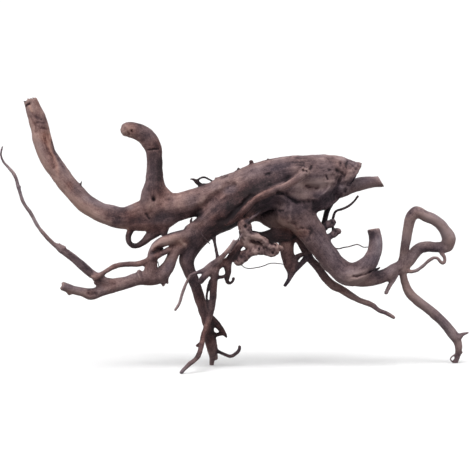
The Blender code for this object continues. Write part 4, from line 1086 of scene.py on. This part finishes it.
def streak(wavy, stroke, width, paler, redder=0):
    """How much a stroke of colour changes the wood at each place."""
    return np.outer(on_stroke(wavy, stroke, width), (paler, redder))


def cloud(spots, cell, elsewhere, strength):
    """A soft change of the wood at random places."""
    return strength * speckle(spots, cell, elsewhere)


seen = as_seen(spots)[0]
wavy, uneven = unsteady(seen, spots), 1 + MARK_SHADE_AND_STAIN_RAGGED * speckle(spots, RAGGED_CELL, 40)
tint_and_painted_light = np.array([TINTS.get(name, (0, 0)) for name in owner_names], float)[owners]
tint_and_painted_light = softened(tint_and_painted_light, neighbours(root.data), TINT_ROUNDS)
# the patches and strokes lay on stains together with painted shade and painted highlights
for row in itertools.chain(*PATCHES_OF_STAIN_AND_PAINTED_LIGHT.values()):
    tint_and_painted_light += patch(seen, *row)
for row in itertools.chain(*STROKES_OF_STAIN_AND_PAINTED_LIGHT.values()):
    tint_and_painted_light += streak(wavy, *row)
# each mark darkens its stroke: painted shade in cracks, pits and recesses, and the own colour of scars and
# stains
for stroke, width, _, _, darker in MARKS.values():
    tint_and_painted_light[:, 0] -= MARK_SHADE * darker * uneven * on_stroke(wavy, stroke, width * MARK_SPREAD)
tint_and_painted_light[:, 0] += sum(cloud(spots, *row) for row in PALE_CLOUDS)
tint_and_painted_light[:, 1] += cloud(spots, *RED_CLOUD)
note(root.data, "paler", np.clip(tint_and_painted_light[:, 0], *PALER_LIMITS))
note(root.data, "redder", np.clip(tint_and_painted_light[:, 1], *REDDER_LIMITS))
print("patches:", sum(map(len, PATCHES_OF_STAIN_AND_PAINTED_LIGHT.values())), "strokes:", sum(map(len, STROKES_OF_STAIN_AND_PAINTED_LIGHT.values())))

# %% [markdown]
# ## Raw wood
#
# Where an end tore off or was sawn through, younger wood shows, in shades of its own. These faces could
# be painted by hand, but the routes already tell where the ends are: a raw face lies close to an end and
# faces the way the end points.

# %% Raw wood on the torn and cut faces
RAW_FACING, RAW_GAIN = 0.45, 4          # how far a raw face turns to the end's own way, and how soon it shows
RAW_BEFORE, RAW_BEYOND, RAW_GIRTH = -4, 8, 1.3       # mm, mm, radii off the middle

raw = np.zeros(len(spots))
for branch, which, *_ in TORN_ENDS + CUT_ENDS:
    beyond, off, way, radius = at_end(spots, branch, which)
    outward = np.clip((normals @ way - RAW_FACING) * RAW_GAIN, 0, 1)
    here = (beyond > RAW_BEFORE) * (beyond < RAW_BEYOND) * (off < radius * RAW_GIRTH)
    raw = np.maximum(raw, outward * here)
note(root.data, "raw", raw)
print("raw points:", int((raw > 0.5).sum()))

# %% [markdown]
# ## The grain as a shader
#
# Close up the grain is finer than the mesh. The shader combs its own noise the same way: it reads the
# noise at several places along the grain and averages them. It is a node group, with the place, the
# direction and the width of the fibres as inputs, so that every wood here can use it.

# %% Nodes
def add(tree, kind, inputs=None, **settings):
    """A node with its settings. An input takes a value or a link, by its name or number."""
    node = tree.nodes.new(kind)
    for setting, value in settings.items():
        setattr(node, setting, value)
    for socket, value in (inputs or {}).items():
        if isinstance(value, bpy.types.NodeSocket):
            tree.links.new(value, node.inputs[socket])
        else:
            node.inputs[socket].default_value = value
    return node


def maths(tree, operation, *values, **settings):
    """The result of a Math node on values or links."""
    inputs = dict(enumerate(values))
    return add(tree, "ShaderNodeMath", inputs, operation=operation, **settings).outputs[0]


def mixed(tree, share, a, b):
    """Two colours mixed."""
    return add(tree, "ShaderNodeMix", data_type="RGBA", inputs={0: share, 6: a, 7: b}).outputs[2]


def ramp(tree, value, stops):
    """A colour ramp with these (position, colour) stops."""
    node = add(tree, "ShaderNodeValToRGB", inputs={"Fac": value})
    ends = node.color_ramp.elements
    while len(ends) < len(stops):
        ends.new(0.5)
    for end, (position, colour) in zip(ends, stops):
        end.position, end.color = position, colour
    return node.outputs["Color"]


# %% The long grain group
COMB_TEETH, TOOTH_GAP = 4, 1.15         # to each side, and from tooth to tooth in fibres
NOISE_LOW, NOISE_HIGH = 0.40, 0.60      # the range of the averaged noise

long_grain = bpy.data.node_groups.new("long_grain", "ShaderNodeTree")
for socket, kind in (("Place", "Vector"), ("Run", "Vector"), ("Fibre", "Float")):
    long_grain.interface.new_socket(socket, in_out="INPUT", socket_type="NodeSocket" + kind)
long_grain.interface.new_socket("Streak", in_out="OUTPUT", socket_type="NodeSocketFloat")
entry = long_grain.nodes.new("NodeGroupInput").outputs
fineness = maths(long_grain, "DIVIDE", 1.0, entry["Fibre"])
teeth = range(-COMB_TEETH, COMB_TEETH + 1)
total = 0.0
for tooth in teeth:
    stride = maths(long_grain, "MULTIPLY", entry["Fibre"], tooth * TOOTH_GAP)
    shift = add(long_grain, "ShaderNodeVectorMath", operation="SCALE",
                inputs={0: entry["Run"], "Scale": stride})
    spot = add(long_grain, "ShaderNodeVectorMath", operation="ADD",
               inputs={0: entry["Place"], 1: shift.outputs[0]})
    noise = add(long_grain, "ShaderNodeTexNoise",
                inputs={"Vector": spot.outputs[0], "Scale": fineness, "Detail": 1.0})
    total = maths(long_grain, "ADD", total, noise.outputs["Fac"])
spread = add(long_grain, "ShaderNodeMapRange",
             inputs={"Value": total, "From Min": NOISE_LOW * len(teeth), "From Max": NOISE_HIGH * len(teeth)})
add(long_grain, "NodeGroupOutput", inputs={"Streak": spread.outputs[0]})
print("nodes in the long grain group:", len(long_grain.nodes))

# %% [markdown]
# ## Weathered wood
#
# Dry wood is grey where it lay in the light, reddish where the bark came off late and bluish in the
# shade. One tone, from dark to pale, adds up a cloudy stain, streaks of three widths along the grain,
# grit, and what the surface noted: painted shade in hollows and on crests, and the stains, painted shade
# and painted highlights of the patches and strokes. Each of the three woods has its own shades for it.

# %% Weathered wood
WOODS = {                               # dark to pale, red, green and blue as seen on a screen
    "grey": ((34, 25, 29), (74, 58, 61), (112, 90, 90), (160, 135, 131)),
    "reddish": ((40, 22, 22), (94, 60, 56), (138, 100, 90), (182, 146, 134)),
    "bluish": ((30, 25, 32), (66, 56, 66), (100, 88, 96), (145, 132, 138)),
}
TONES = (0.10, 0.34, 0.58, 0.95)        # the tone of each of these shades
RAW_WOOD, RAW_TONES = ((84, 66, 66), (156, 130, 124)), (0.25, 0.9)
FIBRE_WIDTHS = (0.45, 1.2, 3.2)         # mm
CLOUD_NOISE = {"Scale": 60.0, "Detail": 5.0, "Roughness": 0.65}
GRIT_NOISE = {"Scale": 700.0, "Detail": 2.0, "Roughness": 0.8}
# the hollow share is painted shade, darker in hollows and paler on crests; the paler share carries stains,
# painted shade and painted highlights
SHARES = {"cloud": 0.95, "band": 0.09, "strand": 0.06, "fibre": 0.28, "grit": 0.54, "hollow_shade": -0.28,
          "paler": 0.26}
TONE_START = -0.335                     # brings plain wood to about the third shade
ROUGHNESS, GRITTY_ROUGHNESS, SHINE = 0.62, 0.25, 0.3
STRAND_HEIGHT, RELIEF_STRENGTH, RELIEF_HEIGHT = 0.4, 0.6, 0.4 * MM


def shades(tree, tone, tones, colours):
    """A ramp through screen colours, 0 to 255, each at its tone."""
    stops = [(at, [(part / 255) ** 2.2 for part in colour] + [1]) for at, colour in zip(tones, colours)]
    return ramp(tree, tone, stops)


def weathered_wood():
    """Dry grey-brown wood: streaked along the grain, with painted shade that leaves it paler on crests and
    darker in hollows.
    """
    material = bpy.data.materials.new("weathered_wood")
    material.use_nodes = True
    tree = material.node_tree
    shader = tree.nodes["Principled BSDF"]
    where = add(tree, "ShaderNodeTexCoord").outputs["Object"]
    masks = {name: add(tree, "ShaderNodeAttribute", attribute_name=name).outputs["Fac"]
             for name in ("hollow_shade", "paler", "redder", "raw")}
    run = add(tree, "ShaderNodeAttribute", attribute_name="grain").outputs["Vector"]
    for name, width in zip(("fibre", "strand", "band"), FIBRE_WIDTHS):
        masks[name] = add(tree, "ShaderNodeGroup", node_tree=long_grain,
                          inputs={"Place": where, "Run": run, "Fibre": width * MM}).outputs[0]
    for name, settings in (("cloud", CLOUD_NOISE), ("grit", GRIT_NOISE)):
        masks[name] = add(tree, "ShaderNodeTexNoise", inputs={"Vector": where, **settings}).outputs["Fac"]
    tone = TONE_START
    for name, share in SHARES.items():
        tone = maths(tree, "MULTIPLY_ADD", masks[name], share, tone)
    grey, reddish, bluish = [shades(tree, tone, TONES, colours) for colours in WOODS.values()]
    warm = maths(tree, "MAXIMUM", masks["redder"], 0.0)
    cool = maths(tree, "MULTIPLY", masks["redder"], -1.0, use_clamp=True)
    colour = mixed(tree, cool, mixed(tree, warm, grey, reddish), bluish)
    torn = shades(tree, maths(tree, "MULTIPLY_ADD", masks["fibre"], 0.5, masks["grit"]), RAW_TONES, RAW_WOOD)
    tree.links.new(mixed(tree, masks["raw"], colour, torn), shader.inputs["Base Color"])
    rough = maths(tree, "MULTIPLY_ADD", masks["grit"], GRITTY_ROUGHNESS, ROUGHNESS)
    tree.links.new(rough, shader.inputs["Roughness"])
    shader.inputs["Specular IOR Level"].default_value = SHINE
    relief = maths(tree, "MULTIPLY_ADD", masks["strand"], STRAND_HEIGHT, masks["fibre"])
    relief = maths(tree, "ADD", masks["grit"], relief)
    bump = add(tree, "ShaderNodeBump",
               inputs={"Strength": RELIEF_STRENGTH, "Distance": RELIEF_HEIGHT, "Height": relief})
    tree.links.new(bump.outputs[0], shader.inputs["Normal"])
    return material


wood = weathered_wood()
root.data.materials.clear()
root.data.materials.append(wood)
print("nodes in the wood:", len(wood.node_tree.nodes))

# %% [markdown]
# ## Hair roots
#
# A few roots as fine as a hair hang between the thick ones, too thin for the skin. They are drawn like
# the branches and kept as a piece of their own, in the same wood.

# %% Hair roots
HAIRS = {
    "upper_hair": [(97, -4, 124.5, 0.8), (103.6, -4, 123.3, 0.7), (109, -4, 124.6, 0.65),
        (114, -5, 125.4, 0.65), (118, -5, 126.6, 0.65), (122, -5, 127.5, 0.65), (125, -5, 126.6, 0.6),
        (128, -5, 125, 0.55), (134, -5, 125, 0.5)],
    "lower_hair": [(3, -24, 109, 0.7), (6.9, -23, 106.6, 0.5), (10.4, -22, 104.2, 0.5),
        (22.5, -16, 104.6, 0.5), (29, -12, 106.3, 0.5), (35.3, -8, 108.6, 0.5), (45.5, -4, 108.2, 0.45),
        (52, -2, 107, 0.5)],
    "arch_hair": [(-77, -20, 110.5, 0.5), (-76.4, -21, 107, 0.45), (-75.5, -22, 103, 0.5)],
    "trunk_hair": [(-34, -22, 140, 0.6), (-32, -26, 136, 0.5), (-28, -27, 131.5, 0.5), (-25, -27, 128, 0.45)],
    "strand_hair": [(5, -27, 138, 0.6), (4, -30, 133, 0.55), (0, -31, 127, 0.55), (-4, -32, 121, 0.6)],
    "gap_flake": [(-43, -8, 154, 0.7), (-44, -9, 151, 1.4), (-43.6, -9, 147.5, 1.3), (-44.5, -9, 144.5, 0.6)],
    "tip_splinter": [(-206, 32, 268, 1.2), (-210, 32, 270.6, 0.6), (-211.3, 32, 270.8, 0.4)],
    "arm_hair": [(-33, 6, 188, 0.5), (-38, 5, 191.5, 0.5), (-43, 4, 192.2, 0.4)],
}
HAIR_NOTES = {"paler": -1.3, "redder": 0, "hollow_shade": 0, "raw": 0}

hair_roots = merged([draw(name, route, sides=1) for name, route in HAIRS.items()], "hair_roots")
bpy.ops.object.shade_smooth()
for name, value in HAIR_NOTES.items():
    note(hair_roots.data, name, np.full(len(hair_roots.data.vertices), value))
hair_roots.data.materials.clear()
hair_roots.data.materials.append(wood)
print("hair roots:", len(HAIRS), "faces:", len(hair_roots.data.polygons))

# %% [markdown]
# ## Floor and light
#
# A plain pale floor without a corner, and the light of a studio: a large soft lamp high in front, as far
# off as the sun so that the floor is lit evenly, a panel close to each side, and a sky that is bright
# above and dark below.

# %% Floor
FLOOR_SIZE, FLOOR_DROP = 60, 0.0003     # m
PAPER_COLOUR, PAPER_ROUGHNESS = (0.88, 0.88, 0.88, 1), 0.9

bpy.ops.mesh.primitive_plane_add(size=FLOOR_SIZE, location=(0, 0, -FLOOR_DROP))
floor = bpy.context.object
floor.name = "floor"
paper = bpy.data.materials.new("pale_paper")
paper.use_nodes = True
paper.node_tree.nodes["Principled BSDF"].inputs["Base Color"].default_value = PAPER_COLOUR
paper.node_tree.nodes["Principled BSDF"].inputs["Roughness"].default_value = PAPER_ROUGHNESS
floor.data.materials.append(paper)
floor.visible_diffuse = False

# %% Lamps
ROOT_MIDDLE = Vector((0, 0, 0.14))
PANEL = {"shape": "SQUARE", "size": 0.5}


def lamp(name, kind, spot, strength, **settings):
    """A lamp turned to the middle of the root."""
    bpy.ops.object.light_add(type=kind, location=spot)
    light = bpy.context.object
    light.name = name
    light.data.energy = strength
    for setting, value in settings.items():
        setattr(light.data, setting, value)
    light.rotation_euler = (ROOT_MIDDLE - Vector(spot)).to_track_quat("-Z", "Y").to_euler()


lamp("key_light", "SUN", (-0.2, -0.6, 1.54), 2.1, angle=math.radians(40))
lamp("left_panel", "AREA", (-0.85, -0.45, 0.3), 2.2, **PANEL)
lamp("right_panel", "AREA", (0.85, -0.45, 0.35), 2.0, **PANEL)

# %% Sky
SKY = [(0.0, (0.06, 0.055, 0.06, 1)), (0.48, (0.2, 0.19, 0.2, 1)), (1.0, (1, 1, 1, 1))]
SKY_STRENGTH = 0.9

world = bpy.data.worlds.new("studio")
bpy.context.scene.world = world
world.use_nodes = True
sky = world.node_tree
heading = add(sky, "ShaderNodeTexCoord").outputs["Generated"]
height = add(sky, "ShaderNodeSeparateXYZ", inputs={0: heading}).outputs["Z"]
upward = add(sky, "ShaderNodeMapRange", inputs={"Value": height, "From Min": -1.0}).outputs[0]
sky.links.new(ramp(sky, upward, SKY), sky.nodes["Background"].inputs["Color"])
sky.nodes["Background"].inputs["Strength"].default_value = SKY_STRENGTH
bpy.context.scene.view_settings.view_transform = "Standard"

# %% Attach the pieces to the root's body and hide the imported model
for piece in (root, hair_roots):
    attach(piece, "root")
    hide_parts("spiderwood_root")
